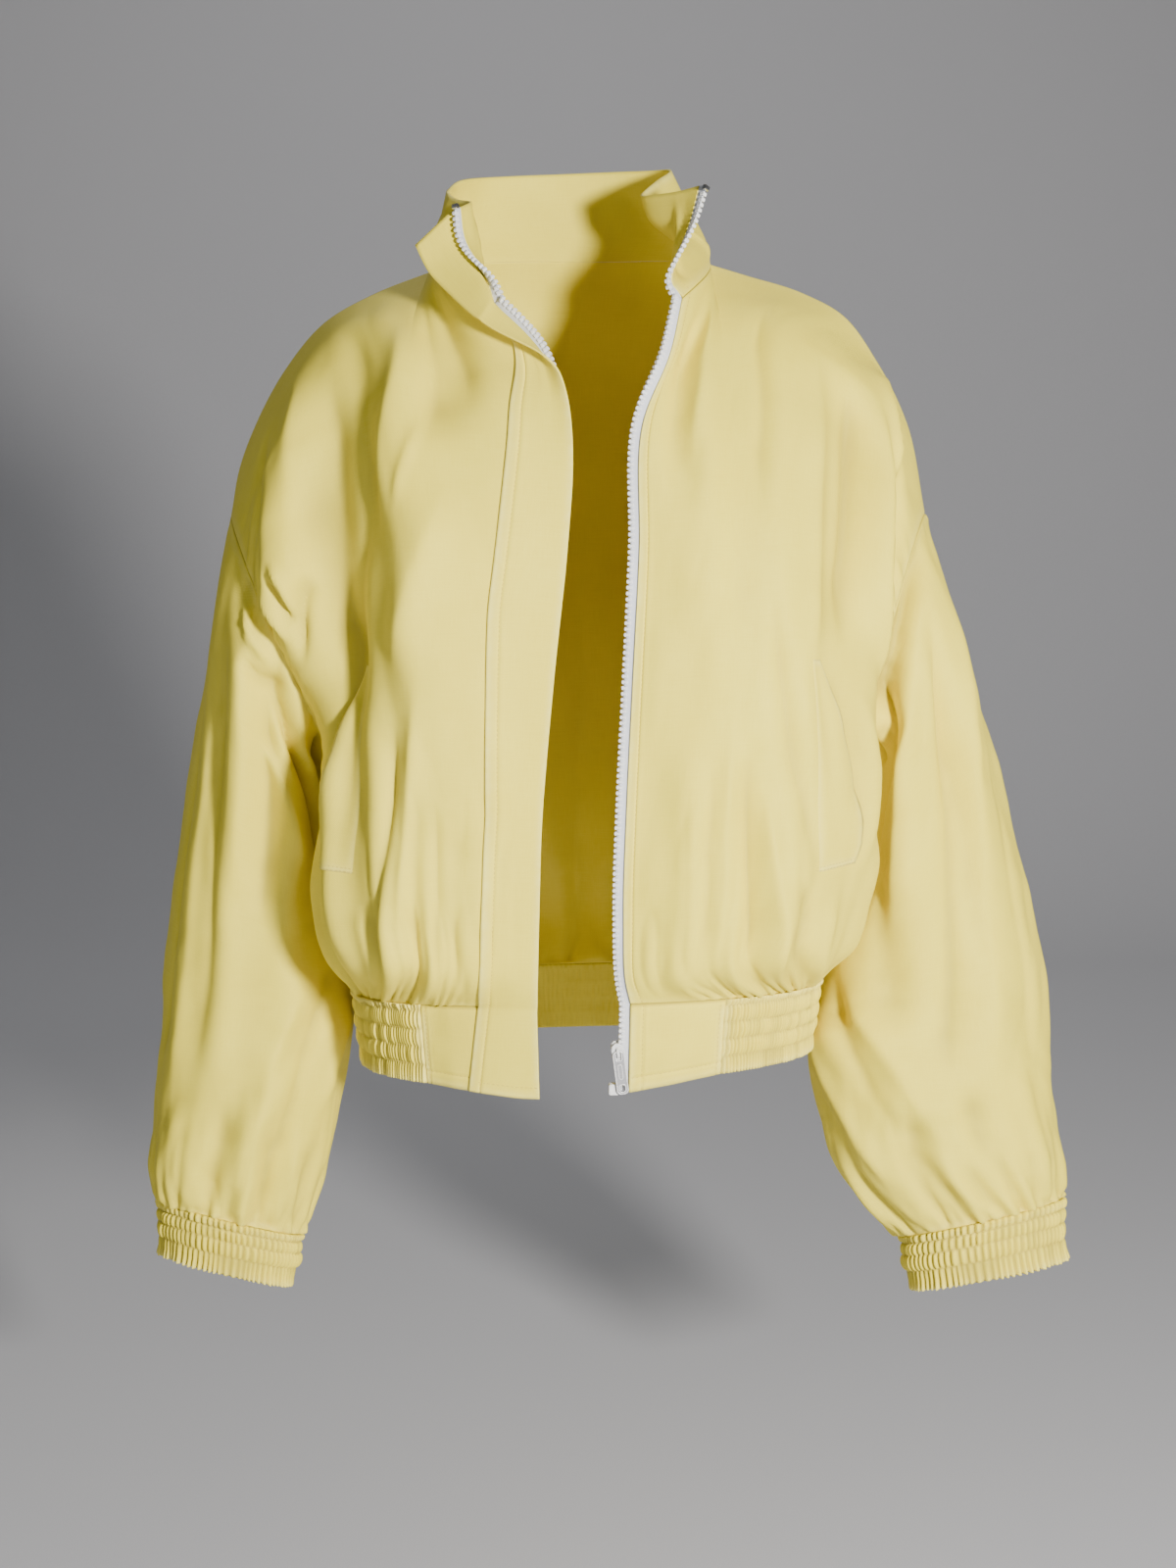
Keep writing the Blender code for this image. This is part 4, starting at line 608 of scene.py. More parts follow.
# ---------------------------------------------------------------- cloth surfaces
def panel(half, side=None):
    """A body panel: a loft through its sections, folded and gathered, then fitted to its seams."""
    across = panel_columns(half)
    knots, down = np.array(ACROSS), panel_rows()
    if half == "front":
        table, halves = section_table(side, half), [(side, across, slice(None), -1)]
        folds, gathers, creases = FRONT_FOLDS[side], GATHERS[side], FRONT_CREASES[side]
        facing, phase = (-1 if side == "left" else 1), (0.6 if side == "left" else 1.7)
    else:
        table = np.concatenate([section_table("right", half)[:, ::-1], section_table("left", half)[:, 1:]], 1)
        middle = len(across) - 1
        halves = [("right", across[::-1], slice(0, middle + 1), 0), ("left", across, slice(middle, None), -1)]
        knots = np.concatenate([-knots[::-1], knots[1:]])
        across = np.concatenate([-across[::-1], across[1:]])
        folds, gathers, facing, phase, creases = BACK_FOLDS, GATHERS["back"] / 2, 1, 0.3, BACK_CREASES
    grid = spline(DOWN, spline(knots, table.transpose(1, 0, 2), across).transpose(1, 0, 2), down)
    u, v = across[None, :], down[:, None]
    high = fold_heights(folds, u, v, *PANEL_SPAN)
    let_in = ease((v - 0.70) / 0.24) * (1 - 0.75 * ease((v - 0.97) / 0.03))
    waves = np.sin(2 * math.pi * gathers * u + 1.3 * np.sin(5 * u + 2) + phase)
    high = high + GATHER_HIGH * MM * let_in * waves * (ease((u - 0.14) / 0.2) if half == "front" else 1)
    high = high + panel_detail(half, side, u, v, creases)
    grid = grid + grid_normals(grid) * facing * high[..., None]
    for name, own, part, end in halves:
        grid[:, part] += (top_line(name, half, own) - grid[0, part])[None] * (1 - ease(v / 0.16))[..., None]
        reach = ease((own[None, :] - 0.72) / 0.28)[..., None]
        grid[:, part] += (side_line(name, half, down) - grid[:, end])[:, None] * reach
        foot = ease((v - 0.95) / 0.05)[..., None]
        grid[:, part] += (waist_line(name, half, own) - grid[-1, part])[None] * foot
    return dict(grid=grid, normal=grid_normals(grid) * facing, closed=False, across=across, down=down)


def panel_detail(half, side, u, v, creases):
    """Creases, slow and fine unevenness, pleats above the waist seam and puckers at the armhole."""
    x, y = u * PANEL_SPAN[0], v * PANEL_SPAN[1]
    seed = {"left": 11, "right": 23, None: 37}[side]
    high = crease_heights(creases, u, v, np.array(PANEL_SPAN))
    high = high + 1.5 * MM * drift(x, y * 0.8, 0.060, seed) + 0.6 * MM * drift(x, y * 0.6, 0.024, seed + 1)
    from_seam = (1 - v) * PANEL_SPAN[1]
    count = 30 if half == "front" else 64
    start = 0.035 if half == "front" else -0.25
    small = pleats(x - start, from_seam, count, *WAIST_PLEAT, seed + 2)
    clear = ease((u - 0.13) / 0.12) if half == "front" else 1
    high = high + 1.9 * MM * np.abs(drift(x, y * 0.2, 0.011, seed + 7)) * ease((v - 0.60) / 0.36)
    high = high + 0.7 * MM * np.abs(drift(x + 0.3 * y, y * 0.35 - 0.2 * x, 0.022, seed + 8))
    if half == "front":
        high = high * ease((u + 0.01) / 0.10)
    toward_arm = (1 - np.abs(u)) * PANEL_SPAN[0]
    pinched = pleats(y, toward_arm, 26, *ARM_PUCKER, seed + 5) * ease(toward_arm / 0.004)
    high = high + pinched * ease((0.70 - v) / 0.06) * ease((v - 0.10) / 0.15)
    if side == "left":
        high = high + groove((u - STITCH_COLUMN) * PANEL_SPAN[0])
    return high + small * clear * ease(from_seam / 0.004)


def ring(outer, inner, centre_y, depth, turn, power=2.0, pitch=0.0):
    """One oval section of a sleeve or cuff, from its outer and inner points and its half depth."""
    outer, inner = np.asarray(outer) * MM, np.asarray(inner) * MM
    angle = 2 * math.pi * np.asarray(turn)
    sine, cosine = np.sin(angle), np.cos(angle)
    reach = np.sign(cosine) * np.abs(cosine) ** (2 / power)
    deep = -np.sign(sine) * np.abs(sine) ** (2 / power) * depth * MM
    middle, half = (outer + inner) / 2, (outer - inner) / 2
    return np.stack([middle[0] + half[0] * reach, centre_y * MM + deep,
                     middle[1] + half[1] * reach - pitch * deep], -1)


def sleeve(side):
    """A sleeve: a loft through its oval sections, folded, and gathered into the cuff."""
    turn = arm_turns()
    table, count = SLEEVE[side], len(SLEEVE[side]) - 1
    rows = np.stack([ring(row[:2], row[2:4], row[4], row[5], turn, 2.15 if k < count else 2.0,
                          CUFF_PITCH * ease((k - count + 4) / 4)) for k, row in enumerate(table)])
    rows[0] = armhole(side, turn)
    down = np.concatenate([spaced(0, 0.88, SLEEVE_ROWS - CUFF_END_ROWS, True),
                           spaced(0.88, 1, CUFF_END_ROWS, False, True)[1:]])
    grid = spline(SLEEVE_KNOTS, rows, down)
    facing = 1 if side == "left" else -1
    normal = grid_normals(grid, closed=True) * facing
    u, v = turn[None, :], down[:, None]
    high = sum(fold_heights(SLEEVE_FOLDS[side], u + shift, v, *SLEEVE_SPAN) for shift in (-1, 0, 1))
    let_in = ease((v - 0.78) / 0.15) * (1 - 0.8 * ease((v - 0.97) / 0.03))
    high = high + GATHER_HIGH * MM * let_in * np.sin(2 * math.pi * SLEEVE_GATHERS * u + np.sin(4 * u))
    high = high * ease((v + 0.01) / 0.08) * (1 - ease((v - 0.975) / 0.025))
    high = high + sleeve_detail(side, u, v)
    grid = grid + normal * high[..., None]
    return dict(grid=grid, normal=grid_normals(grid, closed=True) * facing, closed=True, across=turn,
                down=down)


def sleeve_detail(side, u, v):
    """Creases, slow unevenness, puckers at the armhole and the pleats let into the cuff."""
    seed = {"left": 51, "right": 67}[side]
    x, y = u * SLEEVE_SPAN[0], v * SLEEVE_SPAN[1]
    high = sum(crease_heights(SLEEVE_CREASES[side], u + shift, v, np.array(SLEEVE_SPAN))
               for shift in (-1, 0, 1))
    around = 0.064 * np.cos(2 * math.pi * u), 0.064 * np.sin(2 * math.pi * u)
    high = high + 1.4 * MM * drift(around[0] + 0.31 * y, around[1] + 0.9 * y, 0.045, seed)
    high = high + 0.5 * MM * drift(around[0] - y, around[1] + 0.4 * y, 0.018, seed + 1)
    from_cuff = (1 - v) * SLEEVE_SPAN[1]
    fine = np.abs(drift(around[0] * 1.4 + 0.05 * y, around[1] * 1.4 + 0.2 * y, 0.012, seed + 7))
    high = high + 2.2 * MM * fine * ease((v - 0.66) / 0.3)
    high = high + 0.8 * MM * np.abs(drift(around[0] + 0.3 * y, around[1] - 0.3 * y, 0.024, seed + 8))
    length = SLEEVE_SPAN[0]
    small = pleats(x, from_cuff, CUFF_PLEATS, length / CUFF_PLEATS, 6.0 * MM, 0.050, seed + 2, ring=length)
    puckers = pleats(x, y, SLEEVE_PUCKERS, length / SLEEVE_PUCKERS, 3.2 * MM, 0.024, seed + 3, ring=length)
    ends = ease(y / 0.004) * ease(from_cuff / 0.003)
    return high * ease(y / 0.007) * (1 - 0.7 * ease((v - 0.97) / 0.03)) * ease(from_cuff / 0.004) \
        + (small + puckers) * ends


def collar():
    """The stand: neckline points below, then the low, high and top points of its stations."""
    places = [row[0] for row in COLLAR]
    front, back = (panel_columns(half) / ACROSS[1] for half in ("front", "back"))
    front, back = front[front <= 1.0001], back[back <= 1.0001]
    runs = ((0, 0.30, front), (0.30, 0.51, 1 - back[::-1]), (0.51, 0.72, back), (0.72, 1, 1 - front[::-1]))
    cells = np.concatenate([[0]] + [low + (high - low) * part[1:] for low, high, part in runs])
    seam = np.concatenate([curve(NECK_FRONT["right"], front),
                           curve(NECK_BACK["right"], back[::-1])[1:],
                           curve(NECK_BACK["left"], back)[1:],
                           curve(NECK_FRONT["left"], front[::-1])[1:]])
    upper = spline(places, np.array([row[1:] for row in COLLAR], float) * MM, cells)
    rows = np.stack([seam, upper[:, 0], upper[:, 1], upper[:, 2]])
    height = 1 - spaced(0, 1, COLLAR_ROWS, False, True)
    grid = spline((0, 0.33, 0.68, 1.0), rows, height)
    u, v = cells[None, :], height[:, None]
    high = crease_heights(COLLAR_CREASES, u, v, np.array((0.50, 0.07)))
    high = high + 0.5 * MM * drift(u * 0.5, v * 0.07, 0.028, 5) * ease(v / 0.2)
    normal = grid_normals(grid)
    grid = grid + normal * (high * ease(v / 0.15))[..., None]
    return dict(grid=grid, normal=grid_normals(grid), closed=False, stiff=2, across=cells, down=1 - height)


# ---------------------------------------------------------------- seams
def border_points(sheet):
    """Border indices of a sheet, and at each the direction that leads into it, square to its edge."""
    grid = sheet["grid"]
    rows, columns = grid.shape[:2]
    into = np.zeros_like(grid)
    for axis, edge, second in ((0, 0, 1), (0, rows - 1, -2), (1, 0, 1), (1, columns - 1, -2)):
        if axis == 1 and sheet["closed"]:
            continue
        line, inside = (grid[edge], grid[second]) if axis == 0 else (grid[:, edge], grid[:, second])
        if sheet["closed"]:
            along = unit(np.roll(line, -1, axis=0) - np.roll(line, 1, axis=0))
        else:
            along = unit(np.gradient(line, axis=0))
        square = unit((inside - line) - ((inside - line) * along).sum(-1, keepdims=True) * along)
        if axis == 0:
            into[edge] += square
        else:
            into[:, edge] += square
    place = np.argwhere(np.linalg.norm(into, axis=-1) > 0.1)
    return place, unit(into[place[:, 0], place[:, 1]])


def fit_seams(sheets):
    """Gives the points that sheets share at a seam one normal, then parts the sheets by the gap.

    The shared normal is the sum of the sheets' own. Where two fold back on each other their sum
    nearly cancels, so it also takes the direction that leads into both, on the side that both face.
    """
    names = list(sheets)
    found = [border_points(sheets[name]) for name in names]
    place = np.concatenate([f[0] for f in found])
    into = np.concatenate([f[1] for f in found])
    owner = np.concatenate([np.full(len(f[0]), k) for k, f in enumerate(found)])
    point = np.concatenate([sheets[n]["grid"][f[0][:, 0], f[0][:, 1]] for n, f in zip(names, found)])
    normal = np.concatenate([sheets[n]["normal"][f[0][:, 0], f[0][:, 1]] for n, f in zip(names, found)])
    stiff = np.array([sheets[n].get("stiff", 0) for n in names])[owner]
    key = np.round(point / (0.05 * MM) + 0.3).astype(int)
    group = np.unique(key, axis=0, return_inverse=True)[1].reshape(-1)
    count = np.bincount(group)[group][:, None]

    def gathered(values):
        total = np.zeros((group.max() + 1, 3))
        np.add.at(total, group, values)
        return total[group]

    weight = np.where(stiff > 0, stiff * (count[:, 0] - 1), 1)[:, None]
    plain, lead = gathered(normal), gathered(into)
    facing = np.sign((plain * lead).sum(-1, keepdims=True))
    opposed = 2 * (1 - (plain * plain).sum(-1, keepdims=True) / count**2)
    total = unit(gathered(normal * weight) + facing * opposed * lead)
    away = into - (lead - into) / np.maximum(count - 1, 1)
    away = unit(away - (away * total).sum(-1, keepdims=True) * total)
    shared = count[:, 0] > 1
    for k, name in enumerate(names):
        own = (owner == k) & shared
        i, j = place[own, 0], place[own, 1]
        sheets[name]["grid"][i, j] += away[own] * GAP / 2
        sheets[name]["normal"][i, j] = total[own]
        sheets[name]["shared"] = np.zeros(sheets[name]["grid"].shape[:2], bool)
        sheets[name]["shared"][i, j] = True


def flatten_row(sheet, row, plane_point, plane_normal, lift):
    """Holds one end row of a sheet in a plane, so that the sheet beyond the seam lies flat against it."""
    normal = unit(np.array(plane_normal, float))
    points = sheet["grid"][row]
    away = (points - np.array(plane_point)) @ normal
    sheet["grid"][row] = points + normal * (lift - away)[:, None]
    turned = sheet["normal"][row]
    sheet["normal"][row] = unit(turned - (turned @ normal)[:, None] * normal)
    sheet.setdefault("shared", np.zeros(sheet["grid"].shape[:2], bool))[row] = True


# ---------------------------------------------------------------- meshes
def strip_faces(rows, columns, closed, offset, flip):
    """Quads of a grid of points, as an index array."""
    index = offset + np.arange(rows * columns).reshape(rows, columns)
    if closed:
        index = np.concatenate([index, index[:, :1]], axis=1)
    quads = np.stack([index[:-1, :-1], index[:-1, 1:], index[1:, 1:], index[1:, :-1]], -1).reshape(-1, 4)
    return quads[:, ::-1] if flip else quads


def add_mesh(name, points, faces, uv=None, turn=None, smooth=True):
    """A mesh object from arrays; faces is one array or a list of arrays of equal-sided faces.

    uv is in metres along the cloth. On a tube, turn is its length round, and a face that crosses the
    line where the tube closes gets it added to its low corners, so that the weave runs through.
    """
    mesh = bpy.data.meshes.new(name)
    parts = faces if isinstance(faces, list) else [faces]
    listed = [face for part in parts for face in np.asarray(part).tolist()]
    mesh.from_pydata(np.asarray(points).tolist(), [], listed)
    if uv is not None:
        layer = mesh.uv_layers.new(name="UVMap")
        corner = np.empty(len(mesh.loops), np.int32)
        mesh.loops.foreach_get("vertex_index", corner)
        place = np.asarray(uv, np.float32)[corner].reshape(-1, 4, 2)
        if turn:
            crossing = place[..., 0].max(1) - place[..., 0].min(1) > turn / 2
            low = crossing[:, None] & (place[..., 0] < turn / 2)
            place[..., 0] += turn * low
        layer.data.foreach_set("uv", place.ravel())
    if smooth:
        mesh.shade_smooth()
    mesh.validate()
    obj = bpy.data.objects.new(name, mesh)
    bpy.context.scene.collection.objects.link(obj)
    return obj


def lengths(grid, closed):
    """Mean distances along the columns and down the rows of a grid, and the length round a tube."""
    loop = np.concatenate([grid, grid[:, :1]], axis=1) if closed else grid
    steps = np.linalg.norm(np.diff(loop, axis=1), axis=-1).mean(0)
    u = np.concatenate([[0], np.cumsum(steps)])
    v = np.concatenate([[0], np.cumsum(np.linalg.norm(np.diff(grid, axis=0), axis=-1).mean(1))])
    return u[:grid.shape[1]], v, u[-1]


def blurred(values, closed, times):
    """Repeated three-point mean along both axes of a grid; a closed grid runs round."""
    for _ in range(times):
        ends = (values[:, -1:], values[:, :1]) if closed else (values[:, :1], values[:, -1:])
        wide = np.concatenate([ends[0], values, ends[1]], axis=1)
        values = (wide[:, :-2] + 2 * wide[:, 1:-1] + wide[:, 2:]) / 4
        tall = np.concatenate([values[:1], values, values[-1:]])
        values = (tall[:-2] + 2 * tall[1:-1] + tall[2:]) / 4
    return values


def painted_shade_in_hollows(outer, normal, closed, shared):
    """Painted shade, 0 to 1, where cloth lies deeper than its surroundings, both in small creases and in wide
    folds, and along seams.
    """
    small = ((blurred(outer, closed, 3) - outer) * normal).sum(-1)
    wide = ((blurred(outer, closed, 40) - outer) * normal).sum(-1)
    inset = np.zeros(small.shape)
    inset[2:-2, 2:-2] = 1
    if closed:
        inset[2:-2] = 1
    depth = np.clip(small / 0.0007, 0, 1) * 0.7 + np.clip(wide / 0.0070, 0, 1) * 0.7 * inset
    return np.clip(0.6 * blurred(depth, closed, 1) + shared, 0, 1)


def shell(name, sheet, thick, high=0.0):
    """A closed thin shell: middle surface plus and minus half its wall, joined round its borders.

    high raises the outer side, and the inner side a third as much. The outer side rolls in at seams.
    """
    grid, normal, closed = sheet["grid"], sheet["normal"], sheet["closed"]
    rows, columns = grid.shape[:2]
    high = np.broadcast_to(high, (rows, columns))
    sheet["outer"] = outer_side(sheet, thick, high)
    outer = sheet["outer"].reshape(-1, 3)
    inner = (grid - normal * (thick / 2 - 0.3 * high)[..., None]).reshape(-1, 3)
    count = rows * columns
    flip = (grid_normals(grid, closed) * normal).sum() < 0
    middle = strip_faces(rows, columns, closed, 0, flip)
    faces = [middle, (middle + count)[:, ::-1]]
    index = np.arange(count).reshape(rows, columns)
    if closed:
        loops = [np.append(index[0], index[0, 0]), np.append(index[-1], index[-1, 0])[::-1]]
    else:
        loops = [np.concatenate([index[0], index[1:, -1], index[-1, -2::-1], index[-2::-1, 0]])]
    for loop in loops:
        rim = np.stack([loop[1:], loop[:-1], loop[:-1] + count, loop[1:] + count], -1)
        faces.append(rim[:, ::-1] if flip else rim)
    u, v, turn = lengths(grid, closed)
    near = np.minimum(v, v[-1] - v)[:, None] + np.zeros((1, columns))
    if not closed:
        near = np.minimum(near, np.minimum(u, u[-1] - u)[None, :])
    uv = np.stack(np.broadcast_arrays(u[None, :], v[:, None]), -1).reshape(-1, 2)
    shared = sheet.get("shared", np.zeros((rows, columns))) * 1.0
    # The colour turns paler within a few millimetres of free edges, not at seams.
    edge = (bell(near / 0.004) * (1 - np.clip(4 * blurred(shared, closed, 5), 0, 1))).ravel()
    # Painted shade: the colour darkens in hollows, creases and seams, or between the ribs of a shirred band.
    deep = painted_shade_in_hollows(sheet["outer"], normal, closed, shared) if "deep" not in sheet else sheet["deep"]
    deep = deep.ravel()
    obj = add_mesh(name, np.concatenate([outer, inner]), faces, np.concatenate([uv, uv]),
                   turn if closed else None)
    # On the inner side, a little painted shade all over and no pale edge.
    for kind, values in (("edge", edge), ("painted_shade", deep)):
        both = np.concatenate([values, 0 * values + (0.08 if kind == "painted_shade" else 0)]).astype(np.float32)
        obj.data.attributes.new(kind, "FLOAT", "POINT").data.foreach_set("value", both)
    return obj


def line_on(sheet, rows, columns, lift=0.0):
    """Points and normals on a sheet's outer side at row and column places, in cells, by bilinear mixing."""
    rows, columns = np.broadcast_arrays(np.asarray(rows, float), np.asarray(columns, float))
    i = np.clip(np.floor(rows).astype(int), 0, sheet["grid"].shape[0] - 2)
    j = np.clip(np.floor(columns).astype(int), 0, sheet["grid"].shape[1] - 2)
    a, b = (rows - i)[..., None], (columns - j)[..., None]

    def mixed(values):
        low = values[i, j] * (1 - b) + values[i, j + 1] * b
        return low * (1 - a) + (values[i + 1, j] * (1 - b) + values[i + 1, j + 1] * b) * a
    normal = unit(mixed(sheet["normal"]))
    return mixed(sheet["outer"]) + normal * lift, normal


def column_at(sheet, value):
    """Column place, in cells, at which a sheet's across value is reached."""
    return np.interp(value, sheet["across"], np.arange(len(sheet["across"])))


def row_at(sheet, value):
    return np.interp(value, sheet["down"], np.arange(len(sheet["down"])))


def groove(distance):
    """The dent along a line of stitching, by distance from it."""
    return -0.0005 * bell(distance / 0.0007) + 0.0002 * bell((np.abs(distance) - 0.002) / 0.0014)


def resampled(points, normals, pitch):
    """The same line with points at an even pitch, and the normals there."""
    length = np.concatenate([[0], np.cumsum(np.linalg.norm(np.diff(points, axis=0), axis=1))])
    at = np.linspace(0, length[-1], max(int(length[-1] / pitch), 2) + 1)
    return tuple(np.stack([np.interp(at, length, values[:, k]) for k in range(3)], -1)
                 for values in (points, normals))


def stitches(name, lines):
    """Sewing thread: one small spindle to a stitch, its ends sunk in the cloth.

    Along a stitch at part t, the radius is the gauge times (1 - 0.35 (2t-1)^2) and the height rises as
    the sine of pi t; five points go round each of three rings, closed by a point at each end.
    """
    points, faces, count = [], [], 0
    for line, normal in lines:
        line, normal = resampled(line, normal, STITCH_PITCH)
        middle, along = (line[1:] + line[:-1]) / 2, unit(line[1:] - line[:-1])
        up = unit(normal[1:] + normal[:-1])
        side = np.cross(along, up)
        t = np.array([0.2, 0.5, 0.8])
        angle = 2 * math.pi * np.arange(5) / 5
        place = ((t - 0.5) * STITCH_PITCH * 0.86)[None, :, None, None] * along[:, None, None]
        rise = (STITCH_GAUGE * (1.5 * np.sin(math.pi * t) - 0.7))[None, :, None, None] * up[:, None, None]
        size = (STITCH_GAUGE * (1 - 0.35 * (2 * t - 1) ** 2))[None, :, None, None]
        round_it = (np.cos(angle)[None, None, :, None] * side[:, None, None]
                    + np.sin(angle)[None, None, :, None] * up[:, None, None])
        body = middle[:, None, None] + place + rise + size * round_it
        ends = middle[:, None] + np.array([-0.5, 0.5])[None, :, None] * 0.86 * STITCH_PITCH * along[:, None] \
            - 0.8 * STITCH_GAUGE * up[:, None]
        number = len(middle)
        points.append(np.concatenate([body.reshape(number, 15, 3), ends], axis=1).reshape(-1, 3))
        start = count + 17 * np.arange(number)[:, None, None]
        count += 17 * number
        k = np.arange(5)
        after = (k + 1) % 5
        quads = np.concatenate([np.stack([k + r, after + r, after + r + 5, k + r + 5], -1) for r in (0, 5)])
        fans = np.concatenate([np.stack([after, k, np.full(5, 15)], -1),
                               np.stack([k + 10, after + 10, np.full(5, 16)], -1)])
        faces += [(start + quads).reshape(-1, 4), (start + fans).reshape(-1, 3)]
    return add_mesh(name, np.concatenate(points), faces)


def chamfered(outline, levels):
    """Points and faces of a capped column: the outline drawn at each (height, inset) level, mm.

    Inset moves each corner in along the mean of its two sides' normals.
    """
    outline = np.asarray(outline, float)
    ahead = np.roll(outline, -1, axis=0) - outline
    side = unit(np.stack([ahead[:, 1], -ahead[:, 0]], -1))
    corner = unit(side + np.roll(side, 1, axis=0))
    rings = [np.column_stack([outline - corner * inset, np.full(len(outline), height)])
             for height, inset in levels]
    count = len(outline)
    faces = [strip_faces(len(levels), count, True, 0, False), np.arange(count)[None, ::-1],
             np.arange(count)[None] + count * (len(levels) - 1)]
    return np.concatenate(rings), faces


def copies(name, base, faces, origins, axes, smooth=False):
    """Copies of a small shape in mm, set at origins (n, 3) along axes (n, 3, 3), as one mesh."""
    points = origins[:, None] + np.einsum("pk,nkc->npc", base * MM, axes)
    step = len(base) * np.arange(len(origins))[:, None, None]
    copied = [(step + part).reshape(-1, part.shape[-1]) for part in faces]
    return add_mesh(name, points.reshape(-1, 3), copied, smooth=smooth)


def rounded(wide, tall, radius, steps=4):
    """A rounded rectangle's outline, mm, centred, anticlockwise."""
    corner = np.array([(1, 1), (-1, 1), (-1, -1), (1, -1)])
    middle = corner * (wide / 2 - radius, tall / 2 - radius)
    angle = math.pi / 2 * (np.arange(4)[:, None] + np.linspace(0, 1, steps + 1)[None])
    return (middle[:, None] + radius * np.stack([np.cos(angle), np.sin(angle)], -1)).reshape(-1, 2)


# ---------------------------------------------------------------- pieces on the panels
def front_edge(side, sheets, inside):
    """Rows of the front edge from collar top to hem: points at distances inside the edge, and normals.

    Places run 0 at the collar top, 1 at the neck seam, 2 at the waist seam and 3 at the hem.
    """
    stand, front = sheets["collar"], sheets["front_" + side]
    order = -1 if side == "left" else 1
    lines = [(g[::order], n[::order]) for g, n in zip(stand["grid"], stand["normal"])]
    lines += list(zip(front["grid"], front["normal"]))[1:]
    places = list(stand["down"]) + list(1 + front["down"][1:])
    turn = EDGE_ANGLE[side] + np.linspace(0, 0.7, 40) * (1 if side == "left" else -1)
    for k in range(1, HEM_STEPS + 1):
        drop = BAND_HEIGHT * k / HEM_STEPS
        here, out = waist(turn, drop), waist(turn, drop, 0.01)
        level = (out - here) * (1, 1, 0)
        level[:, 2] = waist_rise(level[:, 0], level[:, 1])
        lines.append((here, unit(level)))
        places.append(2 + k / HEM_STEPS)
    inside = np.broadcast_to(inside, (len(lines), np.shape(inside)[-1]))
    points, normals = [], []
    for (grid, normal), distance in zip(lines, inside):
        length = np.concatenate([[0], np.cumsum(np.linalg.norm(np.diff(grid, axis=0), axis=1))])
        points.append(np.stack([np.interp(distance, length, grid[:, k]) for k in range(3)], -1))
        normals.append(unit(np.stack([np.interp(distance, length, normal[:, k]) for k in range(3)], -1)))
    return np.array(points), np.array(normals), np.array(places)


def walls_under(places):
    """Wall of the solid that a strip lies on, at each place down the front edge."""
    return np.select([places <= 1, places < 1.97], [CAD_COLLAR, CAD_CLOTH], CAD_BAND)


def flap(sheets):
    """The storm flap: from its root seam to the front edge, and past it to its free edge.

    Past the edge each row is a cubic that leaves outward and ends at the table's offset.
    """
    count = len(sheets["collar"]["grid"]) + len(sheets["front_right"]["grid"]) - 1 + HEM_STEPS
    rough = front_edge("right", sheets, np.zeros((count, 1)))[2]
    table = np.array(FLAP, float)
    root, over, *shift = [smoothed(np.interp(rough, table[:, 0], table[:, k]), 4) for k in range(1, 6)]
    from_root = np.array([0, 1.5, 4, 6, 7.2, 7.7, 8.2, 8.7, 9.9, 12, 15, 19, 23, 28, 33, 38]) / FLAP_WIDE
    stitched = np.minimum(1, root[:, None] / 24) * from_root * FLAP_WIDE
    near_root = stitched / root[:, None]
    share = near_root + (from_root - near_root) * ease((from_root - 0.35) / 0.5)
    inside = root[:, None] * (1 - share) * MM
    points, normals, places = front_edge("right", sheets, inside)
    lift = np.where(places < 1, COLLAR_WALL, np.where(places < 1.97, CLOTH, BAND_WALL)) / 2
    lift = smoothed(lift, 3)[:, None] + FLAP_WALL / 2 + 0.0002 + 0.0006 * from_root
    lift = lift + groove((from_root * FLAP_WIDE - FLAP_STITCHED) * MM) * (places > 1.06)[:, None]
    lift = lift + groove((3 - places[:, None]) * BAND_HEIGHT * 1.3 - 0.008)
    grid = smoothed(points + unit(smoothed(normals, 4)) * lift[..., None], 4)
    along = unit(np.gradient(grid[:, -1], axis=0))
    outside = grid[:, -1] - grid[:, -2]
    outside = unit(smoothed(unit(outside - (outside * along).sum(-1, keepdims=True) * along), 20))
    end = outside * over[:, None] * MM + np.stack(shift, -1) * MM
    start = outside * (0.010 + 0.3 * over[:, None] * MM)
    t = np.linspace(0, 1, FLAP_FREE)[1:, None, None]
    free = grid[:, -1] + (t**3 - 2 * t**2 + t) * start + (3 * t**2 - 2 * t**3) * end + (t**3 - t**2) * end
    grid = np.concatenate([grid, free.transpose(1, 0, 2)], axis=1)
    across = np.concatenate([from_root, 1 + np.linspace(0, 1, FLAP_FREE)[1:]])
    return dict(grid=grid, normal=-grid_normals(grid), closed=False, across=across, down=places / 3)


def ribbed_band(angles, drops):
    """A length of the waistband on its oval."""
    grid = np.stack([waist(angles, drop) for drop in drops])
    level = np.stack([waist(angles, drop, 0.01) for drop in drops]) - grid
    grid[..., 2] -= GAP / 2
    level[..., 2] = waist_rise(level[..., 0], level[..., 1])
    return dict(grid=grid, normal=unit(level), closed=False, across=np.linspace(0, 1, len(angles)),
                down=drops / BAND_HEIGHT)


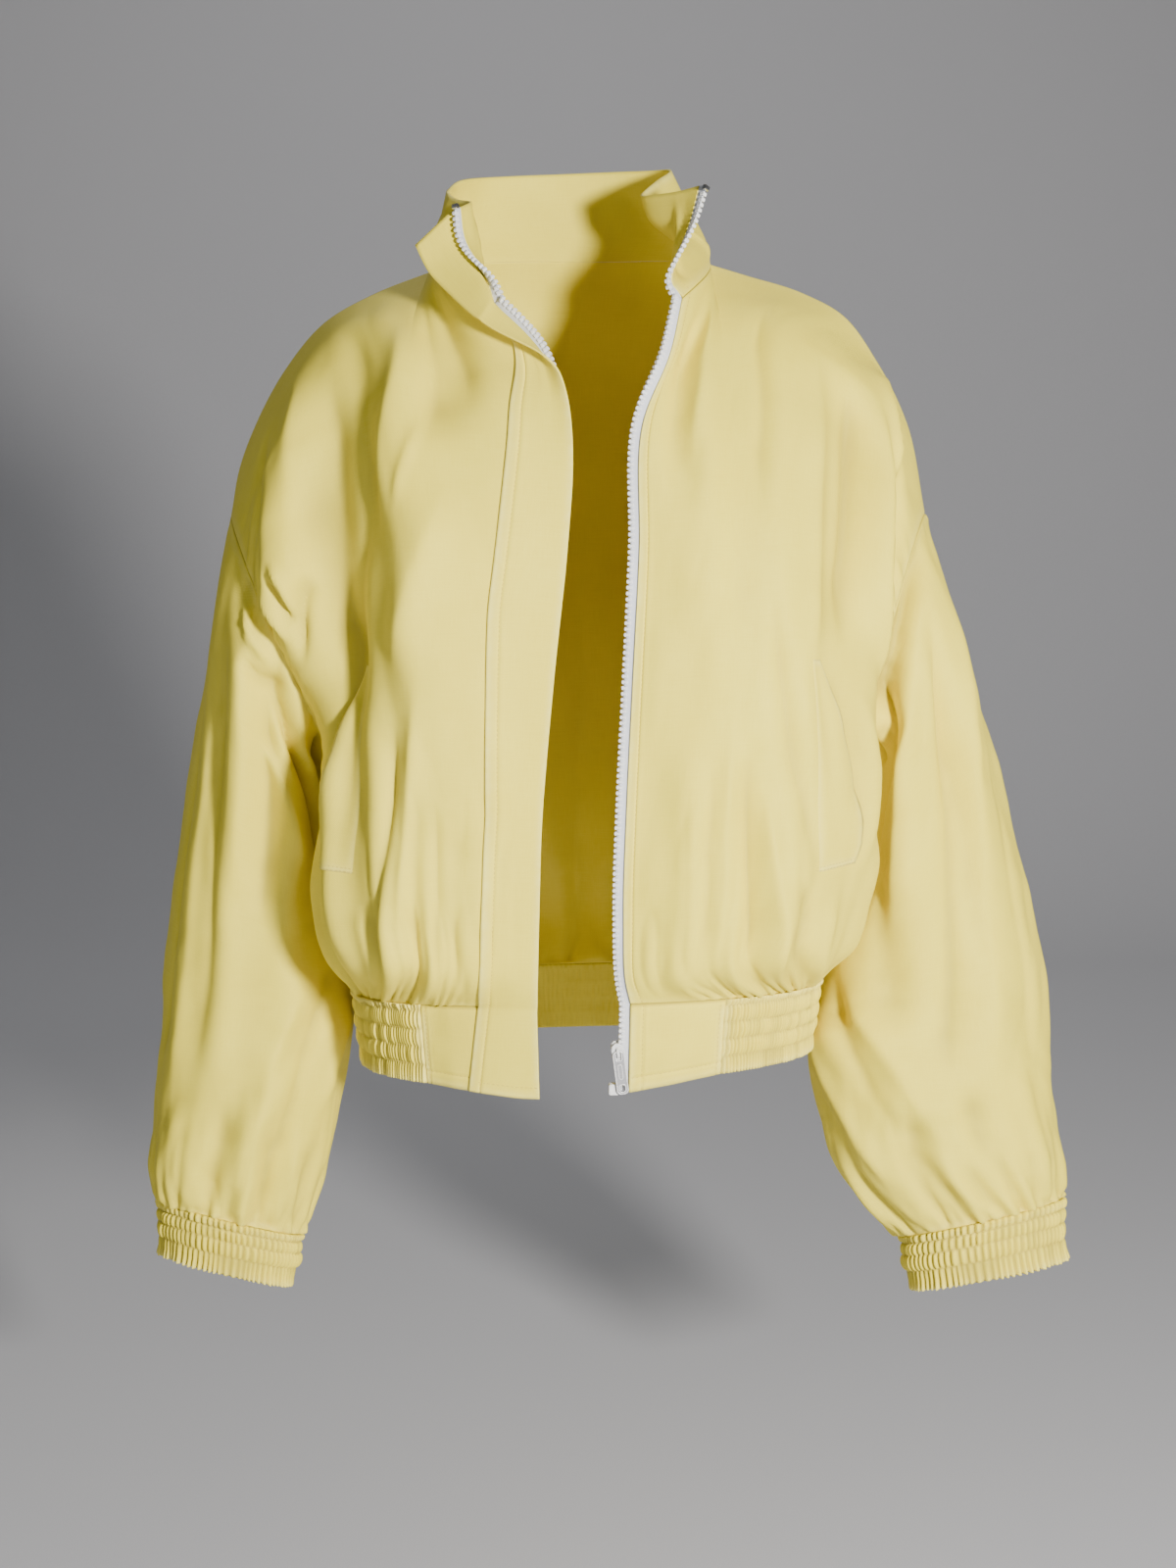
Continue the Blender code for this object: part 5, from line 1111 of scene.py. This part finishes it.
def shirring(turn, down, stitched, count, seed):
    """Heights of a shirred band, and its painted shade: how dark each point is painted, most between the
    ribs.

    Between two lines of stitching stand rounded ribs, drawn as |cos| of the turn; each channel has its own
    uneven phase and strength, and at the lines a fifth of its height. The last one runs on as a ruffle.
    """
    channel = np.searchsorted(stitched, down)
    low = np.concatenate([[-0.10], stitched])[channel]
    high = np.concatenate([stitched, [1.60]])[channel]
    hump = 0.2 + 0.8 * np.clip(np.sin(math.pi * (down - low) / (high - low)), 0, 1) ** 0.35
    place = channel * 7.3 + 0.3 * down
    shift = 0.45 * drift(turn * count / 3.1, place, 1.0, seed) + 0.5 * np.sin(3.7 * channel)
    strength = 1 + 0.5 * drift(turn * count / 1.7, place, 1.0, seed + 1)
    wave = np.abs(np.cos(math.pi * (turn * count + shift)))
    # The second value is painted shade, high where the ribs dip and at the stitched lines.
    return hump * (0.15 + wave * strength), np.clip(1.05 - 1.35 * wave * hump * strength, 0, 0.9)


def cuff(side, sheets):
    """A shirred cuff: small header, two channels and a ruffled edge, all in uneven ribs."""
    count = CUFF_RIB_CELLS * CUFF_RIBS
    turn = np.arange(count) / count
    rows = np.stack([ring(row[:2], row[2:4], 2, row[4], turn, 2.0, CUFF_PITCH) for row in CUFF[side]])
    down = np.linspace(0, 1, 41)
    grid = spline((0, 0.5, 1), rows, down)
    outer, inner = np.array(CUFF[side][0][:2]), np.array(CUFF[side][0][2:4])
    fall = outer - inner
    plane = unit(np.cross((fall[0], 0, fall[1]), (0, 1, -CUFF_PITCH)) * np.sign(fall[0]))
    facing = 1 if side == "left" else -1
    sheet = dict(grid=grid, normal=grid_normals(grid, closed=True) * facing, closed=True, across=turn,
                 down=down)
    point = (outer[0] * MM, 2 * MM, outer[1] * MM)
    flatten_row(sheets["sleeve_" + side], -1, point, plane, GAP / 2)
    flatten_row(sheet, 0, point, plane, -GAP / 2)
    wave, deep = shirring(turn[None, :], down[:, None], CUFF_STITCHED, CUFF_RIBS, 71)
    # Painted shade between the cuff's ribs.
    sheet["deep"] = np.clip(deep, 0, 1)
    return sheet, RIB * wave * (1 + 0.45 * ease((down[:, None] - 0.80) / 0.2))


def waistband():
    """Sheets of the two plain ends and of the shirred band between them, with their outer heights."""
    left, right = waist_angle(BAND_PLAIN[0]), waist_angle(BAND_PLAIN[1])
    half = GAP / 2 / BAND_HALF[0]
    found = {}
    beside_hem = HEM_STITCHED + np.array([-3, -1, 0, 1, 3]) * 0.013
    down = np.sort(np.concatenate([np.linspace(0, 1, 20), beside_hem]))
    plain = (("left", EDGE_ANGLE["left"], left - half), ("right", right + half, EDGE_ANGLE["right"]))
    for side, start, end in plain:
        sheet = ribbed_band(np.linspace(start, end, 70), BAND_HEIGHT * down)
        x = np.linspace(0, abs(end - start) * BAND_HALF[0], 70)[None, :]
        wrinkled = 0.7 * MM * drift(x, down[:, None] * BAND_HEIGHT, 0.014, 91) + 0 * x
        near_end = x if side == "right" else x[:, ::-1]
        sheet["shared"] = np.zeros(sheet["grid"].shape[:2], bool)
        sheet["shared"][0] = True
        dents = groove((down[:, None] - HEM_STITCHED) * BAND_HEIGHT)
        high = wrinkled + dents + groove(near_end - END_STITCHED)
        found["waistband_front_" + side] = sheet, high + (groove(x - ZIP_STITCHED) if side == "left" else 0)
    angles = np.linspace(left + half, 2 * math.pi + right - half, BAND_RIB_CELLS * BAND_RIBS + 1)
    down = np.linspace(0, 1, 31)
    sheet = ribbed_band(angles, BAND_HEIGHT * down)
    turn = np.linspace(0, 1, len(angles))[None, :]
    # Painted shade between the band's ribs.
    wave, sheet["deep"] = shirring(turn, down[:, None], BAND_STITCHED, BAND_RIBS, 81)
    found["waistband_back"] = sheet, RIB * wave * ease(turn / 0.003) * ease((1 - turn) / 0.003)
    return found


def zip_tape(side, sheets):
    """Woven tape from under the front edge out to the chain."""
    points, normals, places = front_edge(side, sheets, np.array([0.0, TAPE_UNDER]))
    edge, normal = points[:, 0], normals[:, 0]
    along = unit(np.gradient(edge, axis=0))
    inward = points[:, 1] - edge
    inward = unit(inward - (inward * along).sum(-1, keepdims=True) * along)
    normal = unit(np.cross(along, inward))
    normal = normal * np.sign((normal * normals[:, 0]).sum(-1, keepdims=True))
    depth = np.where(places < 0.93, 0.0001, (walls_under(places) / 2 + GAP + 0.0005))
    depth = smoothed(depth, 4)[:, None]
    low = edge - normal * depth
    end = low - inward * (ZIP_REACH + 0.0004)
    under = points[:, 1] - normals[:, 1] * depth
    steps = np.linspace(0, 1, 5)[None, :, None]
    grid = np.concatenate([under[:, None] * (1 - steps) + low[:, None] * steps,
                           (low[:, None] * (1 - steps) + end[:, None] * steps)[:, 1:]], axis=1)
    full = np.concatenate([np.repeat(normals[:, 1:2], 4, 1), np.repeat(normal[:, None], 5, 1)], 1)
    chain = low - inward * ZIP_REACH
    return dict(grid=grid, normal=unit(full), closed=False, across=np.linspace(0, 1, 9), down=places / 3,
                chain=(chain, -inward, normal, places))


def zip_teeth(side, chain):
    """Moulded teeth along the chain: each a foot on the tape, a narrow neck and a wider head."""
    line, inward, normal, places = chain
    keep = (places > 0.07) & (places < 2.93)
    line, normal, inward = line[keep], normal[keep], inward[keep]
    even, out = resampled(smoothed(line, 2), normal, TOOTH_PITCH)
    across = resampled(smoothed(line, 2), inward, TOOTH_PITCH)[1]
    if side == "left":
        clear = np.linalg.norm(even - SLIDER[0], axis=1) > 0.0075
        even, out, across = even[clear], out[clear], across[clear]
    along = unit(np.gradient(even, axis=0))
    across = unit(across - (across * along).sum(-1, keepdims=True) * along)
    out = np.cross(along, across)
    axes = np.stack([across, np.cross(out, across), out], axis=1)
    outline = [(-2.0, -1.1), (-0.4, -1.1), (0.15, -0.75), (0.6, -1.3), (1.6, -1.25), (2.05, -0.55),
               (2.05, 0.55), (1.6, 1.25), (0.6, 1.3), (0.15, 0.75), (-0.4, 1.1), (-2.0, 1.1)]
    base, faces = chamfered(outline, [(-1.55, 0.3), (-1.2, 0), (1.2, 0), (1.55, 0.3)])
    return copies("zip_teeth_" + side + "_moulded", base, faces, even, axes)


def zip_slider():
    """Slider: two shield-shaped plates joined by a post and two flanges, with an arched bridge on top."""
    shield = [(-4.3, 1.5), (-3.6, 4.6), (-1.6, 6.5), (1.6, 6.5), (3.6, 4.6), (4.3, 1.5), (3.9, -3.6),
              (3.0, -6.3), (1.2, -6.6), (-1.2, -6.6), (-3.0, -6.3), (-3.9, -3.6)][::-1]
    parts = [chamfered(shield, [(2.35, 0.35), (2.55, 0), (3.15, 0), (3.4, 0.45)]),
             chamfered(shield, [(-3.4, 0.45), (-3.15, 0), (-2.55, 0), (-2.35, 0.35)]),
             chamfered(rounded(2.6, 2.6, 1.0) + (0, 4.6), [(-2.4, 0), (2.4, 0)]),
             chamfered(rounded(0.8, 9.0, 0.3) + (-3.7, -1.2), [(-2.5, 0), (2.5, 0)])]
    t = np.linspace(-1, 1, 17)
    arch = np.stack([0 * t, 4.35 * t, 3.2 + 2.95 * (1 - np.abs(t) ** 3.2)], -1)
    step = np.gradient(arch, axis=0)
    up = unit(np.cross(step, (1, 0, 0)))
    up = up * np.sign(up[:, 2:] + 1e-9)
    section = rounded(2.0, 1.0, 0.35, 2)
    tube = (arch[:, None] + section[None, :, :1] * np.array([1.0, 0, 0])
            - (0.5 - section[None, :, 1:]) * up[:, None])
    count = len(section)
    tube_faces = [strip_faces(len(t), count, True, 0, True), np.arange(count)[None, :],
                  np.arange(count)[None, ::-1] + count * (len(t) - 1)]
    parts.append((tube.reshape(-1, 3), tube_faces))
    return joined("zip_slider_body", parts, SLIDER)


def joined(name, parts, place, smooth=False):
    """Several (points, faces) parts in mm set in one frame: origin, then its three axes."""
    points, faces, count = [], [], 0
    for base, part_faces in parts:
        points.append(base)
        faces += [part + count for part in part_faces]
        count += len(base)
    origin, axes = np.array(place[0]), np.array(place[1:])
    return add_mesh(name, origin + np.concatenate(points) @ axes * MM, faces, smooth=smooth)


def loop_tube(outline, height, radius, sides=8):
    """A closed tube of round section along a flat outline, mm: centre plus radius times (cos, sin)."""
    outline = np.column_stack([outline, np.full(len(outline), height)])
    along = unit(np.roll(outline, -1, axis=0) - np.roll(outline, 1, axis=0))
    side = np.cross(along, (0, 0, 1))
    angle = 2 * math.pi * np.arange(sides) / sides
    tube = outline[:, None] + radius * (np.cos(angle)[:, None] * side[:, None]
                                        + np.sin(angle)[:, None] * np.array([0, 0, 1.0]))
    index = np.arange(len(outline) * sides).reshape(len(outline), sides)
    ahead, after = np.roll(index, -1, axis=0), np.roll(index, -1, axis=1)
    quads = np.stack([index, after, np.roll(after, -1, axis=0), ahead], -1).reshape(-1, 4)
    return tube.reshape(-1, 3), [quads]


def zip_pull_trim():
    """Raised rims of the pull tab: round its outline, its window and its end hole."""
    pin = (SLIDER[0] + (np.array(SLIDER[2]) * 1.0 + np.array(SLIDER[3]) * 4.25) * MM, *SLIDER[1:])
    parts = [loop_tube(rounded(7.4, 30.7, 2.7, 6) + (0, -15.25), 0.45, 0.42),
             loop_tube(rounded(4.4, 6.4, 0.9, 4) + (0, -3.3), 0.45, 0.36),
             loop_tube(rounded(4.6, 5.6, 2.0, 6) + (0, -26.6), 0.45, 0.36),
             loop_tube(rounded(2.6, 10.5, 1.1, 6) + (0, -14.6), 0.45, 0.30)]
    return joined("zip_pull_trim", parts, pin, smooth=True)


# ---------------------------------------------------------------- materials
def node(tree, kind, **values):
    made = tree.nodes.new(kind)
    for name, value in values.items():
        setattr(made, name, value)
    return made


def weave_group():
    """Twill cloth: fine diagonal ribs, uneven threads both ways, soft patches, paler free edges and painted
    shade in folds.

    Tone runs 0 to 1 for darker to lighter cloth; Height is for bump; the third output is up to 1 near a free
    edge, where the colour turns paler; the fourth is painted shade, 1 deep in a fold or crease and at a seam.
    """
    tree = bpy.data.node_groups.new("twill cloth", "ShaderNodeTree")
    for name in ("Tone", "Height", "Pale Edge", "Painted Shade"):
        tree.interface.new_socket(name=name, in_out="OUTPUT", socket_type="NodeSocketFloat")
    out = node(tree, "NodeGroupOutput")
    uv = node(tree, "ShaderNodeUVMap", uv_map="UVMap")
    link = tree.links.new

    def noise(scale, stretch, detail):
        mapping = node(tree, "ShaderNodeMapping")
        mapping.inputs["Scale"].default_value = stretch
        link(uv.outputs["UV"], mapping.inputs["Vector"])
        made = node(tree, "ShaderNodeTexNoise")
        made.inputs["Scale"].default_value = scale
        made.inputs["Detail"].default_value = detail
        link(mapping.outputs["Vector"], made.inputs["Vector"])
        return made.outputs["Fac"]

    def mixed(first, second, share):
        made = node(tree, "ShaderNodeMix", data_type="FLOAT")
        made.inputs["Factor"].default_value = share
        link(first, made.inputs["A"])
        link(second, made.inputs["B"])
        return made.outputs["Result"]

    ribs = node(tree, "ShaderNodeTexWave", wave_type="BANDS", bands_direction="DIAGONAL")
    ribs.inputs["Scale"].default_value = 620.0
    ribs.inputs["Distortion"].default_value = 0.6
    ribs.inputs["Detail"].default_value = 1.0
    link(uv.outputs["UV"], ribs.inputs["Vector"])
    warp = noise(1.0, (1500, 70, 1), 2.0)
    weft = noise(1.0, (55, 1300, 1), 2.0)
    threads = mixed(warp, weft, 0.5)
    patches = noise(1.0, (14, 10, 1), 3.0)
    link(mixed(threads, patches, 0.45), out.inputs["Tone"])
    link(mixed(ribs.outputs["Fac"], threads, 0.6), out.inputs["Height"])
    # A patchy mask near free edges, where the colour turns paler.
    edge = node(tree, "ShaderNodeAttribute", attribute_name="edge")
    edge_paling = node(tree, "ShaderNodeMath", operation="MULTIPLY")
    link(edge.outputs["Fac"], edge_paling.inputs[0])
    link(noise(1.0, (160, 160, 1), 2.0), edge_paling.inputs[1])
    link(edge_paling.outputs["Value"], out.inputs["Pale Edge"])
    # Painted shade mask, read from the mesh.
    painted_shade = node(tree, "ShaderNodeAttribute", attribute_name="painted_shade")
    link(painted_shade.outputs["Fac"], out.inputs["Painted Shade"])
    return tree


def ramp(tree, factor, stops):
    """A colour ramp on a factor; stops are (place, colour)."""
    made = node(tree, "ShaderNodeValToRGB")
    made.color_ramp.elements[0].position, made.color_ramp.elements[0].color = stops[0][0], (*stops[0][1], 1)
    made.color_ramp.elements[1].position, made.color_ramp.elements[1].color = stops[-1][0], (*stops[-1][1], 1)
    for place, colour in stops[1:-1]:
        made.color_ramp.elements.new(place).color = (*colour, 1)
    tree.links.new(factor, made.inputs["Fac"])
    return made.outputs["Color"]


def cloth_material(name, weave, dark, light, pale_edge, deep, rough, sheen, bump):
    """Cloth: its colour between two tones by the weave, paler near free edges, and painted shade darkening it
    in hollows and at seams.
    """
    material = bpy.data.materials.new(name)
    material.use_nodes = True
    tree = material.node_tree
    shader = tree.nodes["Principled BSDF"]
    group = node(tree, "ShaderNodeGroup", node_tree=weave)
    tone = ramp(tree, group.outputs["Tone"], [(0.30, dark), (0.70, light)])
    # Paler colour near free edges.
    edge_paling = node(tree, "ShaderNodeMix", data_type="RGBA")
    tree.links.new(group.outputs["Pale Edge"], edge_paling.inputs["Factor"])
    tree.links.new(tone, edge_paling.inputs["A"])
    edge_paling.inputs["B"].default_value = (*pale_edge, 1)
    # Painted shade: the colour is mixed towards the dark colour, up to 0.9, where the shade mask is high.
    share = node(tree, "ShaderNodeMath", operation="MULTIPLY")
    tree.links.new(group.outputs["Painted Shade"], share.inputs[0])
    share.inputs[1].default_value = 0.9
    sunk = node(tree, "ShaderNodeMix", data_type="RGBA")
    tree.links.new(share.outputs["Value"], sunk.inputs["Factor"])
    tree.links.new(edge_paling.outputs["Result"], sunk.inputs["A"])
    sunk.inputs["B"].default_value = (*deep, 1)
    tree.links.new(sunk.outputs["Result"], shader.inputs["Base Color"])
    gloss = [(0.3, (rough + 0.06,) * 3), (0.7, (rough - 0.06,) * 3)]
    tree.links.new(ramp(tree, group.outputs["Tone"], gloss), shader.inputs["Roughness"])
    shader.inputs["Sheen Weight"].default_value = sheen
    shader.inputs["Sheen Roughness"].default_value = 0.45
    shader.inputs["Sheen Tint"].default_value = (1.0, 0.92, 0.55, 1)
    shader.inputs["Specular IOR Level"].default_value = 0.22
    relief = node(tree, "ShaderNodeBump")
    relief.inputs["Strength"].default_value = bump
    relief.inputs["Distance"].default_value = 0.0004
    tree.links.new(group.outputs["Height"], relief.inputs["Height"])
    tree.links.new(relief.outputs["Normal"], shader.inputs["Normal"])
    return material


def grain_group():
    """Fine grain of a smooth surface: one noise for its two close tones, its gloss and its bump."""
    tree = bpy.data.node_groups.new("fine grain", "ShaderNodeTree")
    tree.interface.new_socket(name="Tone", in_out="OUTPUT", socket_type="NodeSocketFloat")
    out = node(tree, "NodeGroupOutput")
    coordinates = node(tree, "ShaderNodeTexCoord")
    noise = node(tree, "ShaderNodeTexNoise")
    noise.inputs["Scale"].default_value = 900.0
    noise.inputs["Detail"].default_value = 3.0
    tree.links.new(coordinates.outputs["Object"], noise.inputs["Vector"])
    tree.links.new(noise.outputs["Fac"], out.inputs["Tone"])
    return tree


def hard_material(name, grain, light, dark, rough, metallic=0.0, coat=0.0):
    """Moulded, enamelled, metal, thread or paper: two close tones, uneven gloss and a slight bump."""
    material = bpy.data.materials.new(name)
    material.use_nodes = True
    tree = material.node_tree
    shader = tree.nodes["Principled BSDF"]
    group = node(tree, "ShaderNodeGroup", node_tree=grain)
    tone = group.outputs["Tone"]
    tree.links.new(ramp(tree, tone, [(0.35, dark), (0.6, light)]), shader.inputs["Base Color"])
    tree.links.new(ramp(tree, tone, [(0.3, (rough + 0.08,) * 3), (0.7, (rough - 0.05,) * 3)]),
                   shader.inputs["Roughness"])
    shader.inputs["Metallic"].default_value = metallic
    shader.inputs["Coat Weight"].default_value = coat
    shader.inputs["Coat Roughness"].default_value = 0.2
    relief = node(tree, "ShaderNodeBump")
    relief.inputs["Strength"].default_value = 0.15
    relief.inputs["Distance"].default_value = 0.0002
    tree.links.new(tone, relief.inputs["Height"])
    tree.links.new(relief.outputs["Normal"], shader.inputs["Normal"])
    return material


# ---------------------------------------------------------------- the jacket
def welt(side, sheets):
    """Pocket piece: a thin layer on the front between its stitched line and the slanting mouth.

    It is lowest along the stitching and stands a little off the front along the mouth.
    """
    front = sheets["front_" + side]
    down = np.linspace(0.515, 0.805, 70)
    stitched = np.interp(down, (0.515, 0.66, 0.805), (0.600, 0.620, 0.640))
    mouth = np.interp(down, (0.515, 0.58, 0.65, 0.75, 0.78, 0.805),
                      (0.622, 0.668, 0.706, 0.752, 0.756, 0.744))
    t = np.linspace(0, 1, 15)[None, :]
    columns = column_at(front, stitched[:, None] * (1 - t) + mouth[:, None] * t)
    grid, normal = line_on(front, row_at(front, down)[:, None], columns)
    gaping = np.sin(math.pi * np.linspace(0.03, 0.93, 70))[:, None]
    lift = 0.0003 - 0.0012 * (1 - ease(t / 0.2)) + 0.0075 * ease((t - 0.3) / 0.7) * gaping
    return dict(grid=grid + normal * lift[..., None], normal=normal, closed=False)


def seam_lines(sheets):
    """Lines of topstitching, each as points and normals on the outer side of its cloth."""
    lines = []
    left, strip = sheets["front_left"], sheets["storm_flap"]
    rows = np.arange(1, len(left["grid"]) - 1)
    lines.append(line_on(left, rows, np.full(len(rows), column_at(left, STITCH_COLUMN))))
    stand = sheets["collar"]
    rows = np.arange(1, len(stand["grid"]) - 2)
    beside_zip = column_at(stand, 1 - 0.28 * STITCH_COLUMN / ACROSS[1])
    lines.append(line_on(stand, rows, np.full(len(rows), beside_zip)))
    rows = np.arange(2, len(strip["grid"]) - 1)
    start = len(stand["grid"]) + 20
    stitched = column_at(strip, FLAP_STITCHED / FLAP_WIDE)
    lines.append(line_on(strip, rows[start:], np.full(len(rows) - start, stitched)))
    low = row_at(strip, 1 - 0.008 / (1.3 * BAND_HEIGHT) / 3)
    lines.append(line_on(strip, np.full(15, low), np.linspace(3.0, strip["grid"].shape[1] - 1.4, 15)))
    for side in ("left", "right"):
        band = sheets["waistband_front_" + side]
        rows, columns = band["grid"].shape[:2]
        hem = row_at(band, HEM_STITCHED)
        lines.append(line_on(band, np.full(columns - 2, hem), np.arange(1, columns - 1)))
        reach = abs(EDGE_ANGLE[side] - waist_angle(BAND_PLAIN[0 if side == "left" else 1])) * BAND_HALF[0]
        step = (columns - 1) / reach
        end = columns - 1 - END_STITCHED * step if side == "left" else END_STITCHED * step
        lines.append(line_on(band, np.arange(1, rows - 1), np.full(rows - 2, end)))
        if side == "left":
            count = int(hem) + 1
            lines.append(line_on(band, np.linspace(0, hem, count), np.full(count, ZIP_STITCHED * step)))
        pocket = sheets["pocket_welt_" + side]
        rows = len(pocket["grid"])
        lines.append(line_on(pocket, np.arange(0, rows), np.full(rows, 0.3)))
        for place in (rows - 1.4, rows - 2.6):
            lines.append(line_on(pocket, np.full(14, place), np.linspace(0.2, 13.6, 14)))
    shirred = (("waistband_back", BAND_STITCHED), ("cuff_left", CUFF_STITCHED), ("cuff_right", CUFF_STITCHED))
    for name, places in shirred:
        band = sheets[name]
        rows, columns = band["grid"].shape[:2]
        for place in places:
            lines.append(line_on(band, np.full(columns, place * (rows - 1)), np.arange(columns), 0.0001))
    return lines


def outer_side(sheet, thick, high=0.0):
    """Points of a sheet's outer side: half its wall out, raised by high, rolled in at seams."""
    dip = SEAM_DIP * sheet.get("shared", np.zeros(sheet["grid"].shape[:2]))
    return sheet["grid"] + sheet["normal"] * (thick / 2 + high - dip)[..., None]


def make_sheets():
    """All the cloth as middle surfaces, with rib heights where it is shirred and its wall."""
    sheets = {"back": panel("back"), "collar": collar()}
    for side in ("left", "right"):
        sheets["front_" + side] = panel("front", side)
        sheets["sleeve_" + side] = sleeve(side)
    fit_seams(sheets)
    for name in ("back", "front_left", "front_right"):
        flatten_row(sheets[name], -1, (0, 0, WAIST_Z), (-WAIST_SLOPE[0], -WAIST_SLOPE[1], 1), GAP / 2)
    ribs = {"cuff_" + side: cuff(side, sheets) for side in ("left", "right")}
    ribs.update(waistband())
    for side in ("left", "right"):
        sheets["front_" + side]["outer"] = outer_side(sheets["front_" + side], CLOTH)
    found = {name: (sheet, COLLAR_WALL if name == "collar" else CLOTH, 0.0) for name, sheet in sheets.items()}
    found.update({name: (sheet, BAND_WALL, high) for name, (sheet, high) in ribs.items()})
    found["storm_flap"] = (flap(sheets), FLAP_WALL, 0.0)
    for side in ("left", "right"):
        found["pocket_welt_" + side] = (welt(side, sheets), WELT_WALL, 0.0)
        found["zip_tape_" + side] = (zip_tape(side, sheets), TAPE_WALL, 0.0)
    return found


def dress(obj, material, body="jacket", nodes=()):
    """Gives a finished piece its material and body, and hides the solids it stands for."""
    obj.data.materials.append(material)
    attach(obj, body)
    if nodes:
        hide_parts(*nodes)
    return obj


def make_jacket(weave, grain):
    cotton = cloth_material("butter cotton twill", weave, *COTTON, 0.62, 0.05, 0.5)
    woven = cloth_material("white zip tape", weave, *TAPE, 0.82, 0.15, 0.5)
    thread = hard_material("sewing thread", grain, (0.70, 0.56, 0.09), (0.58, 0.45, 0.06), 0.72)
    plastic = hard_material("white moulded plastic", grain, (0.82, 0.82, 0.81), (0.76, 0.76, 0.75), 0.34)
    enamel = hard_material("white enamel", grain, (0.80, 0.80, 0.79), (0.72, 0.72, 0.71), 0.25, 0.1, 0.4)
    # Painted shade: the pull plate is dark grey for the shade inside its white rims, though the real pull is
    # white.
    painted_shade_enamel = hard_material("shaded enamel", grain, (0.36, 0.36, 0.37), (0.30, 0.30, 0.31), 0.35, 0.1, 0.2)
    metal = hard_material("bright stop metal", grain, (0.78, 0.78, 0.77), (0.60, 0.60, 0.59), 0.28, 1.0)
    found = make_sheets()
    sheets = {name: sheet for name, (sheet, _, _) in found.items()}
    for name, (sheet, thick, high) in found.items():
        ending, cloth = ("_woven", woven) if "tape" in name else ("_cloth", cotton)
        obj = dress(shell(name + ending, sheet, thick, high), cloth,
                    nodes=(name,))
    dress(stitches("topstitching", seam_lines(sheets)), thread)
    for side in ("left", "right"):
        teeth = zip_teeth(side, sheets["zip_tape_" + side]["chain"])
        dress(teeth, plastic, nodes=("zip_teeth_" + side,))
    dress(zip_slider(), enamel, nodes=("zip_slider",))
    dress(zip_pull_trim(), enamel, body="zip_pull")
    base, faces = chamfered(rounded(7.0, 7.8, 1.3, 4), [(-2.55, 0.5), (-2.1, 0), (2.1, 0), (2.55, 0.5)])
    dress(joined("zip_retainer_box", [(base, faces)], RETAINER), plastic, nodes=("zip_retainer",))
    # The pull plate gets the dark enamel of painted shade; the stops get bright metal.
    for name, material in (("zip_pull", painted_shade_enamel), ("zip_stop_left", metal), ("zip_stop_right", metal)):
        slots = bpy.data.objects[name].material_slots
        slots[0].material = material


def set_camera():
    camera = bpy.data.cameras.new("camera")
    camera.lens, camera.sensor_fit, camera.sensor_height = 56.25, "VERTICAL", 36
    obj = bpy.data.objects.new("camera", camera)
    obj.location = (0.007, -1.76, -0.086)
    obj.rotation_euler = (math.radians(90 - 9.09), 0, 0)
    bpy.context.scene.collection.objects.link(obj)
    bpy.context.scene.camera = obj


def area_light(name, place, target, size, power, colour=(1, 1, 1)):
    light = bpy.data.lights.new(name, "AREA")
    light.shape, light.size, light.energy, light.color = "DISK", size, power, colour
    obj = bpy.data.objects.new(name, light)
    obj.location = place
    obj.rotation_euler = (Vector(target) - Vector(place)).to_track_quat("-Z", "Y").to_euler()
    bpy.context.scene.collection.objects.link(obj)


def studio(grain):
    """Floor that curves up into a backdrop, a key from the right, a weak fill and two lights overhead."""
    bend = np.linspace(0, math.pi / 2, 13)[1:]
    y = np.concatenate([np.linspace(-3, 2.2, 12), 2.2 + 1.2 * np.sin(bend), [3.4] * 4])
    z = np.concatenate([np.zeros(12), 1.2 - 1.2 * np.cos(bend), np.linspace(1.6, 4, 4)]) - 1.02
    x = np.linspace(-4, 4, 9)
    grid = np.stack(np.broadcast_arrays(x[None, :], y[:, None], z[:, None]), -1)
    floor = add_mesh("studio_floor", grid.reshape(-1, 3), strip_faces(len(y), 9, False, 0, False))
    paper = hard_material("floor paper", grain, (0.56, 0.56, 0.58), (0.53, 0.53, 0.55), 0.9)
    floor.data.materials.append(paper)
    area_light("key", (0.88, -1.84, 0.02), (0.04, 0.0, -0.36), 0.26, 92, (1.0, 0.97, 0.93))
    area_light("fill", (-1.3, -1.5, 0.0), (0.0, 0.0, -0.36), 0.80, 6, (0.96, 0.98, 1.0))
    area_light("top", (0.2, 0.9, 2.2), (0, 0, -0.3), 1.6, 3)
    area_light("back", (-0.3, 1.9, 2.0), (-0.1, 0.7, -1.0), 1.6, 20)
    world = bpy.data.worlds.new("studio")
    world.use_nodes = True
    world.node_tree.nodes["Background"].inputs["Color"].default_value = (0.75, 0.78, 0.82, 1)
    world.node_tree.nodes["Background"].inputs["Strength"].default_value = 0.09
    bpy.context.scene.world = world


set_camera()
fine_grain = grain_group()
make_jacket(weave_group(), fine_grain)
studio(fine_grain)
